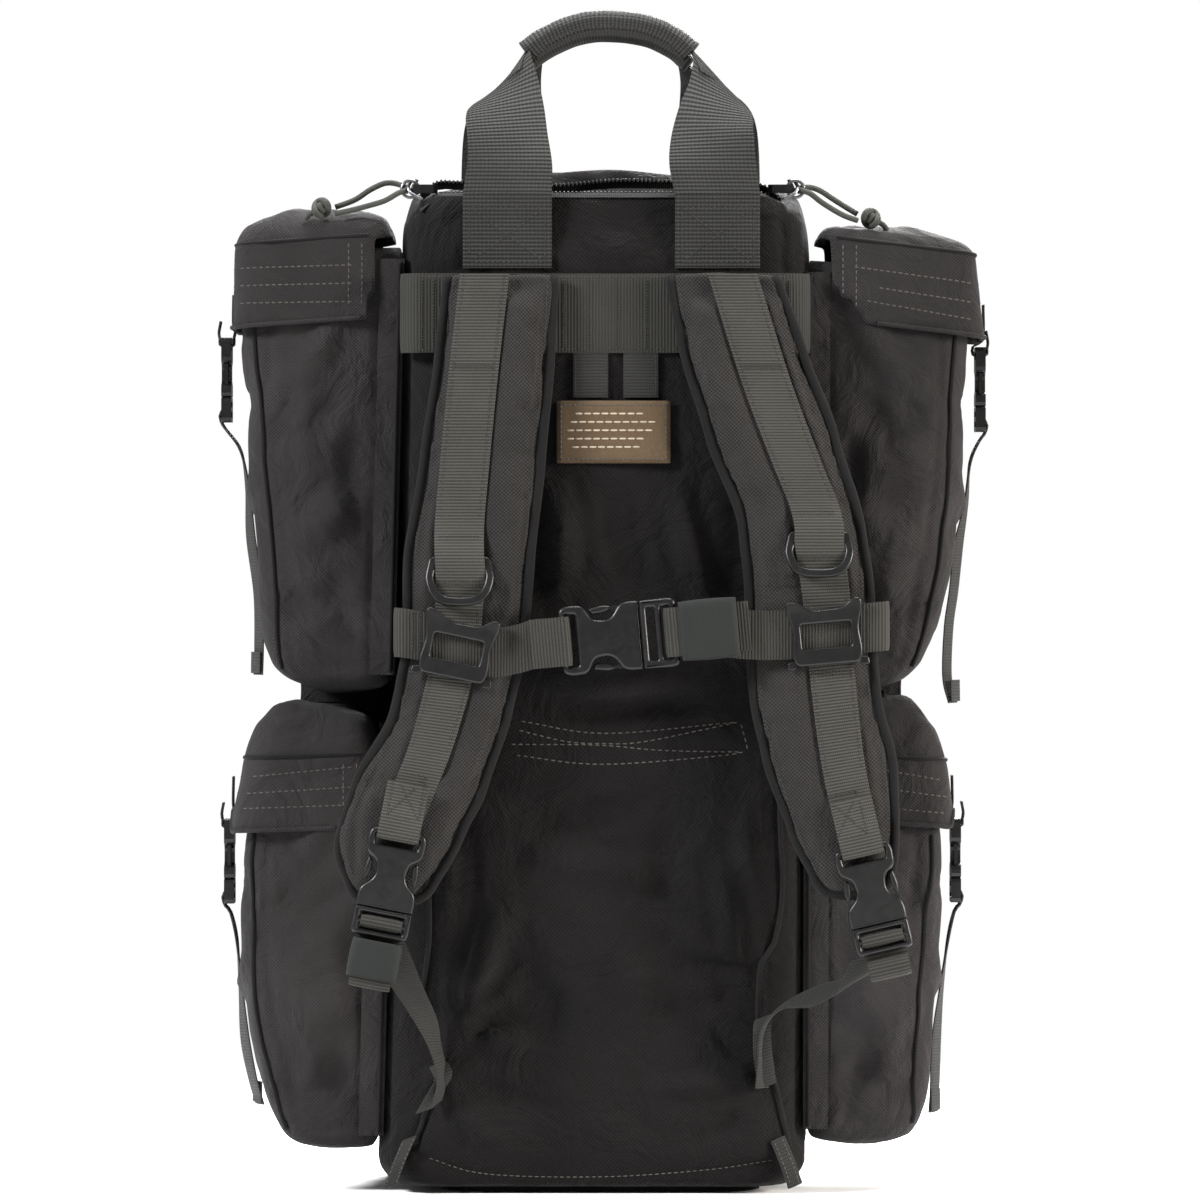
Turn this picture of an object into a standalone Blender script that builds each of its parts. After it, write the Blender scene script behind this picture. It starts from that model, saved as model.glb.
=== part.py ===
"""Trauma backpack with four side pouches, a padded shoulder harness and a two-loop carry handle.

Frame: metres, +Z up, the harness side faces -Y and +X is to the right of someone looking at it.
The origin is the centre of the base, on the surface that the bag stands on.
"""

import math

import bmesh
import bpy
from mathutils import Matrix, Vector

# ---------------------------------------------------------------- driving dimensions, metres
GAP = 0.0003                    # air left between two pieces that touch

PANEL_Y = -0.100                # harness panel of the main bag
FAR_Y = 0.100                   # opposite panel
WALL = 0.004                    # padded fabric wall of the main bag
WALL_LOW_Z, WALL_HIGH_Z = 0.030, 0.600
WALL_HALF_WIDTH = {-1: (0.1335, 0.1195), 1: (0.124, 0.1255)}    # at the two heights above
CORNER = 0.020                  # vertical corners of the main bag

BASE_PLATE = 0.003              # wear panel under the bag
BASE_HALF_X, BASE_HALF_Y, BASE_CORNER = 0.096, 0.078, 0.030

TOP_Z = 0.6005                  # top edge of the harness panel
TOP_RISE = 0.0125               # how far the top swells above that edge
SLOT_Y = -0.086                 # centre of the open top zipper
SLOT_HALF_LENGTH, SLOT_HALF_WIDTH = 0.113, 0.0095
TAPE_Z, TAPE_WIDTH, TAPE_THICK = 0.600, 0.003, 0.0012

POUCH_FRONT, POUCH_REAR = -0.085, 0.045
POUCH_WALL = 0.003
LID_STANDOFF = 0.0045           # outer face of a lid skirt in front of its pouch
LID_WALL = 0.002
LID_HINGE_OUT = 0.005           # hinge line of a lid, outward of the main bag's wall
SKIRT_START = 0.0165            # where a lid's skirts begin, outward of the main bag's wall

WEBBING = 0.0016                # thickness of all webbing
HARNESS_TOP = 0.5525            # seam where the shoulder pads join the bag
HARNESS_TOP_Y = -0.1105         # middle of the pads at that seam
HARNESS_SLOPE = 0.0536          # the pads come forward by this much for each metre down
PAD_THICK = 0.012

CORD = 0.0034                   # diameter of the zipper pull cords
PULL_RING, PULL_WIRE = 0.0051, 0.0009
SLIDER_X = {-1: -0.1038, 1: 0.1060}
SLIDER_PIN = 0.008              # pin of a zipper slider, outward of its middle
RING_HANG = 0.003               # middle of the pull ring, outward of that pin
RING_Z = 0.6038

# Each pouch: the side it is on, its wall as (height, outer half-width), its lid as
# (height, outer half-width, inset of the front and rear faces), the fall of the lid away from
# the bag, the hinge height, the buckle's half-width and the strap tail as (half-width, height)
POUCHES = {
    "upper_left": dict(
        side=-1, fall=0.07, hinge_z=0.576,
        wall=[(0.307, 0.185), (0.314, 0.198), (0.340, 0.2035), (0.390, 0.2055),
              (0.450, 0.2115), (0.495, 0.2155), (0.556, 0.2165)],
        lid=[(0.5265, 0.2225, 0.0), (0.577, 0.2205, 0.0), (0.589, 0.212, 0.009),
             (0.596, 0.190, 0.034)],
        buckle=0.2275,
        tail=[(0.2190, 0.447), (0.2150, 0.425), (0.2130, 0.395),
              (0.2085, 0.360), (0.2080, 0.330), (0.2085, 0.311)]),
    "upper_right": dict(
        side=1, fall=0.12, hinge_z=0.571,
        wall=[(0.309, 0.178), (0.318, 0.193), (0.349, 0.2065), (0.385, 0.2115),
              (0.440, 0.2170), (0.485, 0.2180), (0.548, 0.2210)],
        lid=[(0.5260, 0.2315, 0.0), (0.576, 0.2265, 0.0), (0.5835, 0.216, 0.009),
             (0.5875, 0.192, 0.034)],
        buckle=0.2305,
        tail=[(0.2245, 0.440), (0.2220, 0.415), (0.2175, 0.390),
              (0.2145, 0.362), (0.2115, 0.340), (0.2105, 0.310), (0.2140, 0.294)]),
    "lower_left": dict(
        side=-1, fall=0.03, hinge_z=0.272,
        wall=[(0.027, 0.184), (0.034, 0.195), (0.060, 0.2045), (0.100, 0.2130),
              (0.140, 0.2165), (0.200, 0.2170), (0.256, 0.2090)],
        lid=[(0.2300, 0.2225, 0.0), (0.2640, 0.2155, 0.0), (0.2890, 0.2050, 0.008),
             (0.2990, 0.1960, 0.030)],
        buckle=0.2258,
        tail=[(0.2215, 0.150), (0.2190, 0.120), (0.2165, 0.090),
              (0.2120, 0.066), (0.2075, 0.050)]),
    "lower_right": dict(
        side=1, fall=0.05, hinge_z=0.276,
        wall=[(0.031, 0.186), (0.037, 0.1945), (0.070, 0.1965), (0.110, 0.1985),
              (0.150, 0.2020), (0.200, 0.2060), (0.250, 0.2020)],
        lid=[(0.2322, 0.2125, 0.0), (0.2640, 0.2085, 0.0), (0.2860, 0.1990, 0.008),
             (0.3000, 0.1820, 0.030)],
        buckle=0.2155,
        tail=[(0.2110, 0.150), (0.2070, 0.120), (0.2040, 0.090),
              (0.2030, 0.060), (0.2020, 0.045)]),
}
STRAP_Y = -0.030                # middle of the pouch straps
STRAP_HALF = 0.0095
HEM_TO_BUCKLE = 0.0038          # the buckle starts this far under the lid's hem

# Side-release buckles: webbing width, length of the female and of the male part that shows
SHOULDER_BUCKLE = dict(webbing=0.025, female=0.0475, male=0.0165)
STERNUM_BUCKLE = dict(webbing=0.030, female=0.0480, male=0.0215)
POUCH_BUCKLE = dict(webbing=0.020, female=0.0360, male=0.0150)

# Shoulder pads: (height, left edge, right edge)
PADS = {
    "left": [(0.5525, -0.0924, -0.0270), (0.500, -0.0980, -0.0295), (0.440, -0.1065, -0.0350),
             (0.380, -0.1165, -0.0415), (0.330, -0.1165, -0.0455), (0.290, -0.1235, -0.0545),
             (0.245, -0.1480, -0.0690), (0.210, -0.1580, -0.0860), (0.188, -0.1520, -0.0980),
             (0.174, -0.1400, -0.1120)],
    "right": [(0.5525, 0.0400, 0.1050), (0.506, 0.0486, 0.1212), (0.458, 0.0630, 0.1392),
              (0.404, 0.0834, 0.1554), (0.365, 0.0876, 0.1614), (0.330, 0.0882, 0.1626),
              (0.296, 0.0906, 0.1656), (0.260, 0.0984, 0.1752), (0.218, 0.1134, 0.1764),
              (0.190, 0.1270, 0.1740), (0.178, 0.1380, 0.1640)],
}
SHOULDER_WEBBING = {    # (middle, height) of the strap sewn along each pad
    "left": [(-0.0696, 0.5515), (-0.0765, 0.490), (-0.0822, 0.430), (-0.0845, 0.402)],
    "right": [(0.0786, 0.5515), (0.0984, 0.488), (0.1164, 0.440), (0.1262, 0.416)],
}
WEBBING_BELOW_RING = {
    "left": [(-0.0848, 0.350), (-0.0870, 0.325), (-0.0936, 0.296), (-0.1030, 0.265)],
    "right": [(0.1345, 0.358), (0.1368, 0.325), (0.1410, 0.284), (0.1455, 0.252)],
}
SHOULDER_HALF = 0.0145
RING_BAR = {"left": (-0.0843, 0.3800), "right": (0.1302, 0.3950)}      # middle of each D-ring's bar
D_RING_HALF, D_RING_WIRE = 0.0188, 0.0020
D_RING_DROP = {"left": 0.0235, "right": 0.0190}
SHOULDER_BUCKLE_TOP = {"left": (-0.1200, 0.2190, 11.0), "right": (0.1548, 0.2100, -13.0)}
SHOULDER_BUCKLE_Y = -0.1425

STERNUM_Y = -0.1348             # middle of the sternum buckle
STERNUM_START = (-0.0240, 0.3315)   # bar end of the female half
STERNUM_RISE = 5.0              # degrees, the right end is the higher one
STERNUM_STRAP_HALF = 0.0145
STERNUM_SLIDERS = {"left": (-0.0855, 0.3285, 12.0), "right": (0.1341, 0.3369, -5.0)}


# ---------------------------------------------------------------- scene and materials
for stale in list(bpy.data.objects):
    bpy.data.objects.remove(stale, do_unlink=True)
PARTS = bpy.data.collections.new("trauma_backpack")
bpy.context.scene.collection.children.link(PARTS)


def material(name, colour, roughness, metallic=0.0):
    """A Principled BSDF material."""
    made = bpy.data.materials.new(name)
    made.use_nodes = True
    shader = made.node_tree.nodes["Principled BSDF"]
    shader.inputs["Base Color"].default_value = (*colour, 1.0)
    shader.inputs["Roughness"].default_value = roughness
    shader.inputs["Metallic"].default_value = metallic
    made.diffuse_color = (*colour, 1.0)
    return made


FABRIC = material("charcoal_fabric", (0.030, 0.030, 0.032), 0.85)
PAD_FABRIC = material("pad_fabric", (0.038, 0.038, 0.038), 0.85)
STRAPPING = material("webbing", (0.075, 0.074, 0.066), 0.80)
PLASTIC = material("black_plastic", (0.010, 0.010, 0.011), 0.40)
STEEL = material("slider_metal", (0.55, 0.55, 0.56), 0.30, 1.0)
TAPE = material("zipper_tape", (0.015, 0.015, 0.016), 0.80)
LABEL = material("tan_label", (0.10, 0.075, 0.050), 0.75)
CORDAGE = material("cord", (0.060, 0.062, 0.052), 0.80)
ELASTIC = material("elastic", (0.030, 0.038, 0.034), 0.75)
SHEET = material("stiffener", (0.30, 0.30, 0.30), 0.50)


# ---------------------------------------------------------------- geometry helpers
def finish(name, mesh, look, origin=(0.0, 0.0, 0.0)):
    """An object from a mesh drawn in world coordinates, with its origin moved to a point."""
    place = Vector(origin)
    mesh.transform(Matrix.Translation(-place))
    made = bpy.data.objects.new(name, mesh)
    made.location = place
    mesh.materials.clear()
    mesh.materials.append(look)
    PARTS.objects.link(made)
    return made


def mesh_from(bm, name):
    """A mesh from a bmesh, which is freed."""
    mesh = bpy.data.meshes.new(name)
    bm.to_mesh(mesh)
    bm.free()
    return mesh


def thicken(piece, thickness, offset, even=True):
    """Give an open surface its thickness; offset -1 keeps the drawn side outermost."""
    solid = piece.modifiers.new("thickness", "SOLIDIFY")
    solid.thickness = thickness
    solid.offset = offset
    solid.use_even_offset = even
    return piece


def ring(x0, x1, y0, y1, radius, height, corner=3, along_x=3, along_y=2):
    """A rounded rectangle, anticlockwise from above; height may be a function of x and y."""
    middles = ((x1 - radius, y0 + radius, -90, along_y), (x1 - radius, y1 - radius, 0, along_x),
               (x0 + radius, y1 - radius, 90, along_y), (x0 + radius, y0 + radius, 180, along_x))
    flat = []
    for index, (cx, cy, start, between) in enumerate(middles):
        for step in range(corner + 1):
            angle = math.radians(start + 90 * step / corner)
            flat.append(Vector((cx + radius * math.cos(angle), cy + radius * math.sin(angle))))
        nx, ny, turn, _ = middles[(index + 1) % 4]
        turn = math.radians(turn)
        follow = Vector((nx + radius * math.cos(turn), ny + radius * math.sin(turn)))
        last = flat[-1]
        flat += [last.lerp(follow, (k + 1) / (between + 1)) for k in range(between)]
    level = height if callable(height) else lambda x, y: height
    return [Vector((p.x, p.y, level(p.x, p.y))) for p in flat]


def loft(rings, close_first=True, close_last=False):
    """A bmesh skinned over rings of equal length, the later rings being the upper ones."""
    bm = bmesh.new()
    rows = [[bm.verts.new(point) for point in row] for row in rings]
    count = len(rows[0])
    for low, high in zip(rows, rows[1:]):
        for here in range(count):
            there = (here + 1) % count
            bm.faces.new((low[here], low[there], high[there], high[here]))
    if close_first:
        bm.faces.new(list(reversed(rows[0])))
    if close_last:
        bm.faces.new(rows[-1])
    return bm


def smooth(points, steps=3):
    """More points along a Catmull-Rom curve through the given ones."""
    path = [Vector(p) for p in points]
    ends = [2 * path[0] - path[1]] + path + [2 * path[-1] - path[-2]]
    fine = []
    for a, b, c, d in zip(ends, ends[1:], ends[2:], ends[3:]):
        for step in range(steps):
            t = step / steps
            fine.append(0.5 * (2 * b + (c - a) * t + (2 * a - 5 * b + 4 * c - d) * t * t
                               + (3 * b - a - 3 * c + d) * t ** 3))
    return fine + [path[-1]]


def ribbon(name, middles, halves, look, thickness=WEBBING, origin=(0.0, 0.0, 0.0)):
    """Flat webbing through the middles, each with its half-width vector."""
    bm = bmesh.new()
    rows = [(bm.verts.new(Vector(m) - Vector(h)), bm.verts.new(Vector(m) + Vector(h)))
            for m, h in zip(middles, halves)]
    for (a, b), (c, d) in zip(rows, rows[1:]):
        bm.faces.new((a, b, d, c))
    return thicken(finish(name, mesh_from(bm, name), look, origin), thickness, 0.0)


def tube(name, points, radius, look, cyclic=False, sides=2):
    """A round cord or wire along the points, as a curve object."""
    curve = bpy.data.curves.new(name, "CURVE")
    curve.dimensions = "3D"
    curve.bevel_depth = radius
    curve.bevel_resolution = sides
    curve.render_resolution_u = 0
    curve.use_fill_caps = not cyclic
    line = curve.splines.new("POLY")
    line.points.add(len(points) - 1)
    for spot, point in zip(line.points, points):
        spot.co = (*point, 1.0)
    line.use_cyclic_u = cyclic
    curve.materials.append(look)
    made = bpy.data.objects.new(name, curve)
    PARTS.objects.link(made)
    return made


def block(name, low, high, look, bevel=0.0):
    """A box between two corners, with its long edges softened."""
    bm = bmesh.new()
    bmesh.ops.create_cube(bm, size=1.0)
    low, high = Vector(low), Vector(high)
    bm.transform(Matrix.Translation((low + high) / 2) @ Matrix.Diagonal((*(high - low), 1.0)))
    if bevel:
        bmesh.ops.bevel(bm, geom=bm.edges[:], offset=bevel, segments=1, affect="EDGES",
                        profile=0.5)
    return finish(name, mesh_from(bm, name), look)


def plate_mesh(name, outlines, thickness):
    """A mesh of flat outlines in the XZ plane, later ones being holes, thick along Y."""
    curve = bpy.data.curves.new(name, "CURVE")
    curve.dimensions = "2D"
    curve.fill_mode = "BOTH"
    curve.extrude = thickness / 2
    curve.render_resolution_u = 0
    for outline in outlines:
        line = curve.splines.new("POLY")
        line.points.add(len(outline) - 1)
        for spot, (x, z) in zip(line.points, outline):
            spot.co = (x, z, 0.0, 1.0)
        line.use_cyclic_u = True
    drawn = bpy.data.objects.new(name, curve)
    bpy.context.scene.collection.objects.link(drawn)
    mesh = bpy.data.meshes.new_from_object(drawn.evaluated_get(
        bpy.context.evaluated_depsgraph_get()))
    bpy.data.objects.remove(drawn, do_unlink=True)
    bm = bmesh.new()
    bm.from_mesh(mesh)
    bmesh.ops.remove_doubles(bm, verts=bm.verts, dist=1e-6)
    bmesh.ops.recalc_face_normals(bm, faces=bm.faces)
    bm.transform(Matrix.Rotation(math.pi / 2, 4, "X"))
    bm.to_mesh(mesh)
    bm.free()
    return mesh


def box_mesh(low, high):
    """A plain box as a mesh, for cutting or joining."""
    bm = bmesh.new()
    bmesh.ops.create_cube(bm, size=1.0)
    low, high = Vector(low), Vector(high)
    bm.transform(Matrix.Translation((low + high) / 2) @ Matrix.Diagonal((*(high - low), 1.0)))
    return mesh_from(bm, "box")


def combined(mesh, others, operation):
    """The mesh after a boolean with each of the others, worked out at once."""
    body = bpy.data.objects.new("working", mesh)
    bpy.context.scene.collection.objects.link(body)
    helpers = []
    for other in others:
        helper = bpy.data.objects.new("helper", other)
        bpy.context.scene.collection.objects.link(helper)
        helpers.append(helper)
        step = body.modifiers.new("boolean", "BOOLEAN")
        step.operation = operation
        step.object = helper
    bpy.context.view_layer.update()
    made = bpy.data.meshes.new_from_object(body.evaluated_get(
        bpy.context.evaluated_depsgraph_get()))
    for used in [body] + helpers:
        bpy.data.objects.remove(used, do_unlink=True)
    return made


def settled(piece):
    """The triangles of an object with its modifiers worked out; the object is removed."""
    bpy.context.view_layer.update()
    mesh = bpy.data.meshes.new_from_object(piece.evaluated_get(
        bpy.context.evaluated_depsgraph_get()))
    mesh.transform(piece.matrix_world)
    bpy.data.objects.remove(piece, do_unlink=True)
    bm = bmesh.new()
    bm.from_mesh(mesh)
    bmesh.ops.triangulate(bm, faces=bm.faces)
    bm.to_mesh(mesh)
    bm.free()
    return mesh


def rounded(corners, radius, steps=2):
    """A polygon with each corner replaced by a short arc."""
    points = []
    count = len(corners)
    for index, corner in enumerate(corners):
        here = Vector(corner)
        before = (Vector(corners[index - 1]) - here)
        after = (Vector(corners[(index + 1) % count]) - here)
        reach = min(radius, before.length * 0.45, after.length * 0.45)
        start, end = here + before.normalized() * reach, here + after.normalized() * reach
        for step in range(steps + 1):
            t = step / steps
            points.append(tuple(start * (1 - t) ** 2 + here * 2 * t * (1 - t) + end * t * t))
    return points


def wall_x(side, z):
    """Half-width of the main bag's side wall at a height."""
    low, high = WALL_HALF_WIDTH[side]
    return low + (high - low) * (z - WALL_LOW_Z) / (WALL_HIGH_Z - WALL_LOW_Z)


def span(side, inner, outer):
    """The x range between two half-widths on one side, lowest first."""
    return (inner, outer) if side > 0 else (-outer, -inner)


# ---------------------------------------------------------------- main bag
def top_height(x, y):
    """Height of the bag's top: it swells behind the zipper and drops at the front corners."""
    across = min(max((y - PANEL_Y - 0.0015) / 0.1905, 0.0), 1.0)
    swell = (TOP_RISE - 0.004 * (x / 0.12) ** 2) * math.sin(math.pi * across)
    reach = min(max((abs(x) - 0.100) / 0.018, 0.0), 1.0)
    drop = 0.012 * reach * reach * (3 - 2 * reach) * max(0.0, 1 - (y - PANEL_Y) / 0.055)
    return TOP_Z + swell - drop


def slot_half(x):
    """Half-width of the zipper opening, which closes up towards its ends."""
    return SLOT_HALF_WIDTH * (1 - 0.5 * (x / SLOT_HALF_LENGTH) ** 2)


def main_shell():
    """The hollow main bag, open along the top zipper."""
    bottom = BASE_PLATE + GAP
    left, right = (lambda z: -wall_x(-1, z)), (lambda z: wall_x(1, z))
    rows = [
        ring(-BASE_HALF_X, BASE_HALF_X, -BASE_HALF_Y, BASE_HALF_Y, BASE_CORNER, bottom),
        ring(-0.115, 0.112, -0.092, 0.092, BASE_CORNER, 0.0065),
        ring(left(0.03) + 0.004, right(0.03) - 0.003, -0.099, 0.099, 0.024, 0.018),
    ]
    for z in (0.032, 0.170, 0.300, 0.450, 0.580):
        rows.append(ring(left(z), right(z), PANEL_Y, FAR_Y, CORNER, z))
    edge = ring(left(0.6) + 0.0005, right(0.6) - 0.0005, PANEL_Y + 0.0003, FAR_Y - 0.002, CORNER,
                lambda x, y: top_height(x, y) - 0.0035)
    crest = ring(left(0.6) + 0.004, right(0.6) - 0.004, PANEL_Y + 0.0015, FAR_Y - 0.008,
                 CORNER - 0.003, top_height)
    slot = ring(-SLOT_HALF_LENGTH, SLOT_HALF_LENGTH, SLOT_Y - SLOT_HALF_WIDTH,
                SLOT_Y + SLOT_HALF_WIDTH, SLOT_HALF_WIDTH * 0.8, 0.0)
    for point in slot:
        point.y = SLOT_Y + (point.y - SLOT_Y) * slot_half(point.x) / SLOT_HALF_WIDTH
        point.z = top_height(point.x, point.y)
    rows += [edge, crest]
    for share in (0.33, 0.66):
        between = [a.lerp(b, share) for a, b in zip(crest, slot)]
        rows.append([Vector((p.x, p.y, top_height(p.x, p.y))) for p in between])
    rows.append(slot)
    shell = finish("main_shell", mesh_from(loft(rows), "main_shell"), FABRIC)
    return thicken(shell, WALL, -1.0, even=False)


def base_and_frame():
    """The wear panel under the bag and the stiffening sheet behind the harness panel."""
    low = ring(-BASE_HALF_X, BASE_HALF_X, -BASE_HALF_Y, BASE_HALF_Y, BASE_CORNER, 0.0)
    high = ring(-BASE_HALF_X, BASE_HALF_X, -BASE_HALF_Y, BASE_HALF_Y, BASE_CORNER, BASE_PLATE)
    finish("base_panel", mesh_from(loft([low, high], close_last=True), "base_panel"), FABRIC)
    inside = PANEL_Y + WALL + GAP
    block("frame_sheet", (-0.095, inside, 0.034), (0.095, inside + 0.002, 0.570), SHEET)


def panel_skin_y(x, z, lift):
    """Y of a strip lying on the harness panel, which turns back at the panel's edges."""
    edge = wall_x(1 if x > 0 else -1, z) - CORNER
    past = max(0.0, abs(x) - edge)
    return PANEL_Y + CORNER - math.sqrt(max(CORNER ** 2 - past ** 2, 0.0)) - lift


def panel_trim():
    """The yoke webbing across the harness panel and the sewn label below it."""
    lift = GAP + WEBBING / 2 + 0.0004
    ends = [0.1000, 0.1035, 0.1065, 0.1095, 0.1120, 0.1140]
    places = [-x - 0.0005 for x in reversed(ends)] + [0.0] + [x + 0.0035 for x in ends]
    middles = [(x, panel_skin_y(x, 0.53, lift), 0.5289) for x in places]
    ribbon("yoke_webbing", middles, [(0.0, 0.0, 0.0236)] * len(middles), STRAPPING)
    front = PANEL_Y - GAP
    block("label", (-0.0264, front - 0.0012, 0.4386), (0.0414, front, 0.4758), LABEL)


# ---------------------------------------------------------------- top zipper
def zipper_tapes():
    """The two toothed tapes that edge the top opening."""
    for name, side in (("zipper_tape_front", -1), ("zipper_tape_rear", 1)):
        middles = []
        for k in range(17):
            x = -0.106 + 0.212 * k / 16
            y = SLOT_Y + side * (slot_half(x) - 0.0006 - TAPE_WIDTH / 2)
            middles.append((x, y, TAPE_Z))
        ribbon(name, middles, [(0.0, TAPE_WIDTH / 2, 0.0)] * 17, TAPE, TAPE_THICK)


def slider_mesh(outward):
    """A zipper slider: a shield with two ears and a pin at its outer end."""
    outline = [(-0.0055, -0.0030), (-0.0030, -0.0045), (0.0050, -0.0045), (0.0095, -0.0040),
               (0.0095, -0.0018), (0.0040, -0.0018), (0.0040, 0.0018), (0.0095, 0.0018),
               (0.0095, 0.0040), (0.0050, 0.0045), (-0.0030, 0.0045), (-0.0055, 0.0030)]
    shield = plate_mesh("slider", [outline], 0.0050)
    shield.transform(Matrix.Rotation(-math.pi / 2, 4, "X"))
    bm = bmesh.new()
    bmesh.ops.create_cone(bm, cap_ends=True, segments=8, radius1=0.0007, radius2=0.0007,
                          depth=0.0060)
    bm.transform(Matrix.Translation((SLIDER_PIN, 0.0, 0.0)) @ Matrix.Rotation(math.pi / 2, 4, "X"))
    made = combined(shield, [mesh_from(bm, "pin")], "UNION")
    if outward < 0:
        made.transform(Matrix.Rotation(math.pi, 4, "Z"))
    return made


def zipper_hardware():
    """Sliders, pull rings, pull cords and their knots at both ends of the zipper."""
    cords = {
        -1: dict(knot=(-0.1682, -0.0850, 0.5925), size=(0.0075, 0.0062, 0.0066),
                 upper=[(-0.1600, -0.0822, 0.5930), (-0.1482, -0.0815, 0.5975),
                        (-0.1390, -0.0812, 0.6035), (-0.1300, -0.0811, 0.6075),
                        (-0.1225, -0.0812, 0.6070)],
                 lower=[(-0.1220, -0.0910, 0.6010), (-0.1300, -0.0913, 0.5965),
                        (-0.1400, -0.0900, 0.5935), (-0.1500, -0.0880, 0.5910),
                        (-0.1600, -0.0862, 0.5890)]),
        1: dict(knot=(0.1625, -0.0800, 0.5865), size=(0.0075, 0.0062, 0.0060),
                upper=[(0.1545, -0.0785, 0.5890), (0.1470, -0.0788, 0.5935),
                       (0.1390, -0.0800, 0.5985), (0.1320, -0.0808, 0.6030),
                       (0.1255, -0.0812, 0.6050)],
                lower=[(0.1255, -0.0908, 0.6010), (0.1320, -0.0905, 0.5960),
                       (0.1400, -0.0885, 0.5910), (0.1470, -0.0855, 0.5875),
                       (0.1545, -0.0830, 0.5850)]),
    }
    for side, hand in ((-1, "left"), (1, "right")):
        mesh = slider_mesh(side)
        mesh.transform(Matrix.Translation((SLIDER_X[side], SLOT_Y, RING_Z)))
        finish("zipper_slider_" + hand, mesh, STEEL, (SLIDER_X[side], SLOT_Y, RING_Z))
        middle = SLIDER_X[side] + side * (SLIDER_PIN + RING_HANG)
        circle = [(middle + PULL_RING * math.cos(math.radians(a)), SLOT_Y,
                   RING_Z + PULL_RING * math.sin(math.radians(a))) for a in range(0, 360, 24)]
        tube("zipper_pull_" + hand, circle, PULL_WIRE, STEEL, cyclic=True)
        lay = cords[side]
        through = (middle + side * 0.0014, SLOT_Y, RING_Z)
        route = smooth(lay["upper"] + [through] + lay["lower"], 3)
        tube("zipper_cord_" + hand, route, CORD / 2, CORDAGE)
        bm = bmesh.new()
        bmesh.ops.create_icosphere(bm, subdivisions=2, radius=1.0)
        bm.transform(Matrix.Translation(lay["knot"]) @ Matrix.Diagonal((*lay["size"], 1.0)))
        finish("zipper_knot_" + hand, mesh_from(bm, "knot"), CORDAGE, lay["knot"])


# ---------------------------------------------------------------- carry handle
def handle_loop(name, middles, halves):
    """One webbing loop of the carry handle."""
    ribbon(name, smooth(middles, 3), smooth(halves, 3), STRAPPING, 0.0018)


def carry_handle():
    """Two webbing loops, one from each panel, gathered in one arched grip."""
    outer = PANEL_Y - GAP - 0.0011
    handle_loop("handle_loop_harness_side", [
        (-0.0561, outer, 0.5560), (-0.0561, outer, 0.5980), (-0.0545, -0.0990, 0.6230),
        (-0.0555, -0.0880, 0.6450), (-0.0540, -0.0730, 0.6600), (-0.0440, -0.0600, 0.6745),
        (-0.0260, -0.0545, 0.6885), (0.0030, -0.0545, 0.6950), (0.0320, -0.0545, 0.6900),
        (0.0520, -0.0600, 0.6745), (0.0610, -0.0730, 0.6600), (0.0665, -0.0880, 0.6450),
        (0.0690, -0.0990, 0.6230), (0.0699, outer, 0.5980), (0.0699, outer, 0.5560)], [
        (0.0267, 0, 0), (0.0267, 0, 0), (0.0250, 0.001, 0), (0.0190, 0.006, 0.002),
        (0.0110, 0.009, 0.006), (0.0040, 0.008, 0.004), (0, 0.0070, 0), (0, 0.0070, 0),
        (0, 0.0070, 0), (-0.0040, 0.008, 0.004), (-0.0110, 0.009, 0.006),
        (-0.0190, 0.006, 0.002), (-0.0250, 0.001, 0), (-0.0255, 0, 0), (-0.0255, 0, 0)])
    outer = FAR_Y + GAP + 0.0011
    handle_loop("handle_loop_far_side", [
        (-0.0600, outer, 0.5560), (-0.0600, outer, 0.5980), (-0.0610, 0.0960, 0.6230),
        (-0.0600, 0.0620, 0.6520), (-0.0540, 0.0200, 0.6680), (-0.0440, -0.0160, 0.6780),
        (-0.0260, -0.0350, 0.6885), (0.0030, -0.0355, 0.6950), (0.0320, -0.0350, 0.6900),
        (0.0540, -0.0160, 0.6780), (0.0660, 0.0200, 0.6680), (0.0720, 0.0620, 0.6520),
        (0.0730, 0.0960, 0.6230), (0.0720, outer, 0.5980), (0.0720, outer, 0.5560)], [
        (0.0262, 0, 0), (0.0262, 0, 0), (0.0260, 0, 0), (0.0230, 0.002, 0.002),
        (0.0150, 0.004, 0.006), (0.0060, 0.0065, 0.005), (0, 0.0070, 0), (0, 0.0070, 0),
        (0, 0.0070, 0), (-0.0060, 0.0065, 0.005), (-0.0150, 0.004, 0.006),
        (-0.0230, 0.002, 0.002), (-0.0260, 0, 0), (-0.0262, 0, 0), (-0.0262, 0, 0)])
    arch = smooth([(-0.0440, -0.0450, 0.6880), (-0.0250, -0.0450, 0.7010),
                   (0.0030, -0.0450, 0.7060), (0.0320, -0.0450, 0.7020),
                   (0.0540, -0.0450, 0.6880)], 3)
    rows = []
    for index, middle in enumerate(arch):
        along = (arch[min(index + 1, len(arch) - 1)] - arch[max(index - 1, 0)]).normalized()
        up = Vector((0, 1, 0)).cross(along).normalized() * -1
        rows.append([middle + up * 0.0080 * math.sin(a) + Vector((0, 0.0165, 0)) * math.cos(a)
                     for a in (math.radians(30 * k) for k in range(12))])
    bm = loft(rows, close_last=True)
    bmesh.ops.recalc_face_normals(bm, faces=bm.faces)
    finish("handle_grip", mesh_from(bm, "handle_grip"), STRAPPING, arch[len(arch) // 2])


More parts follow.
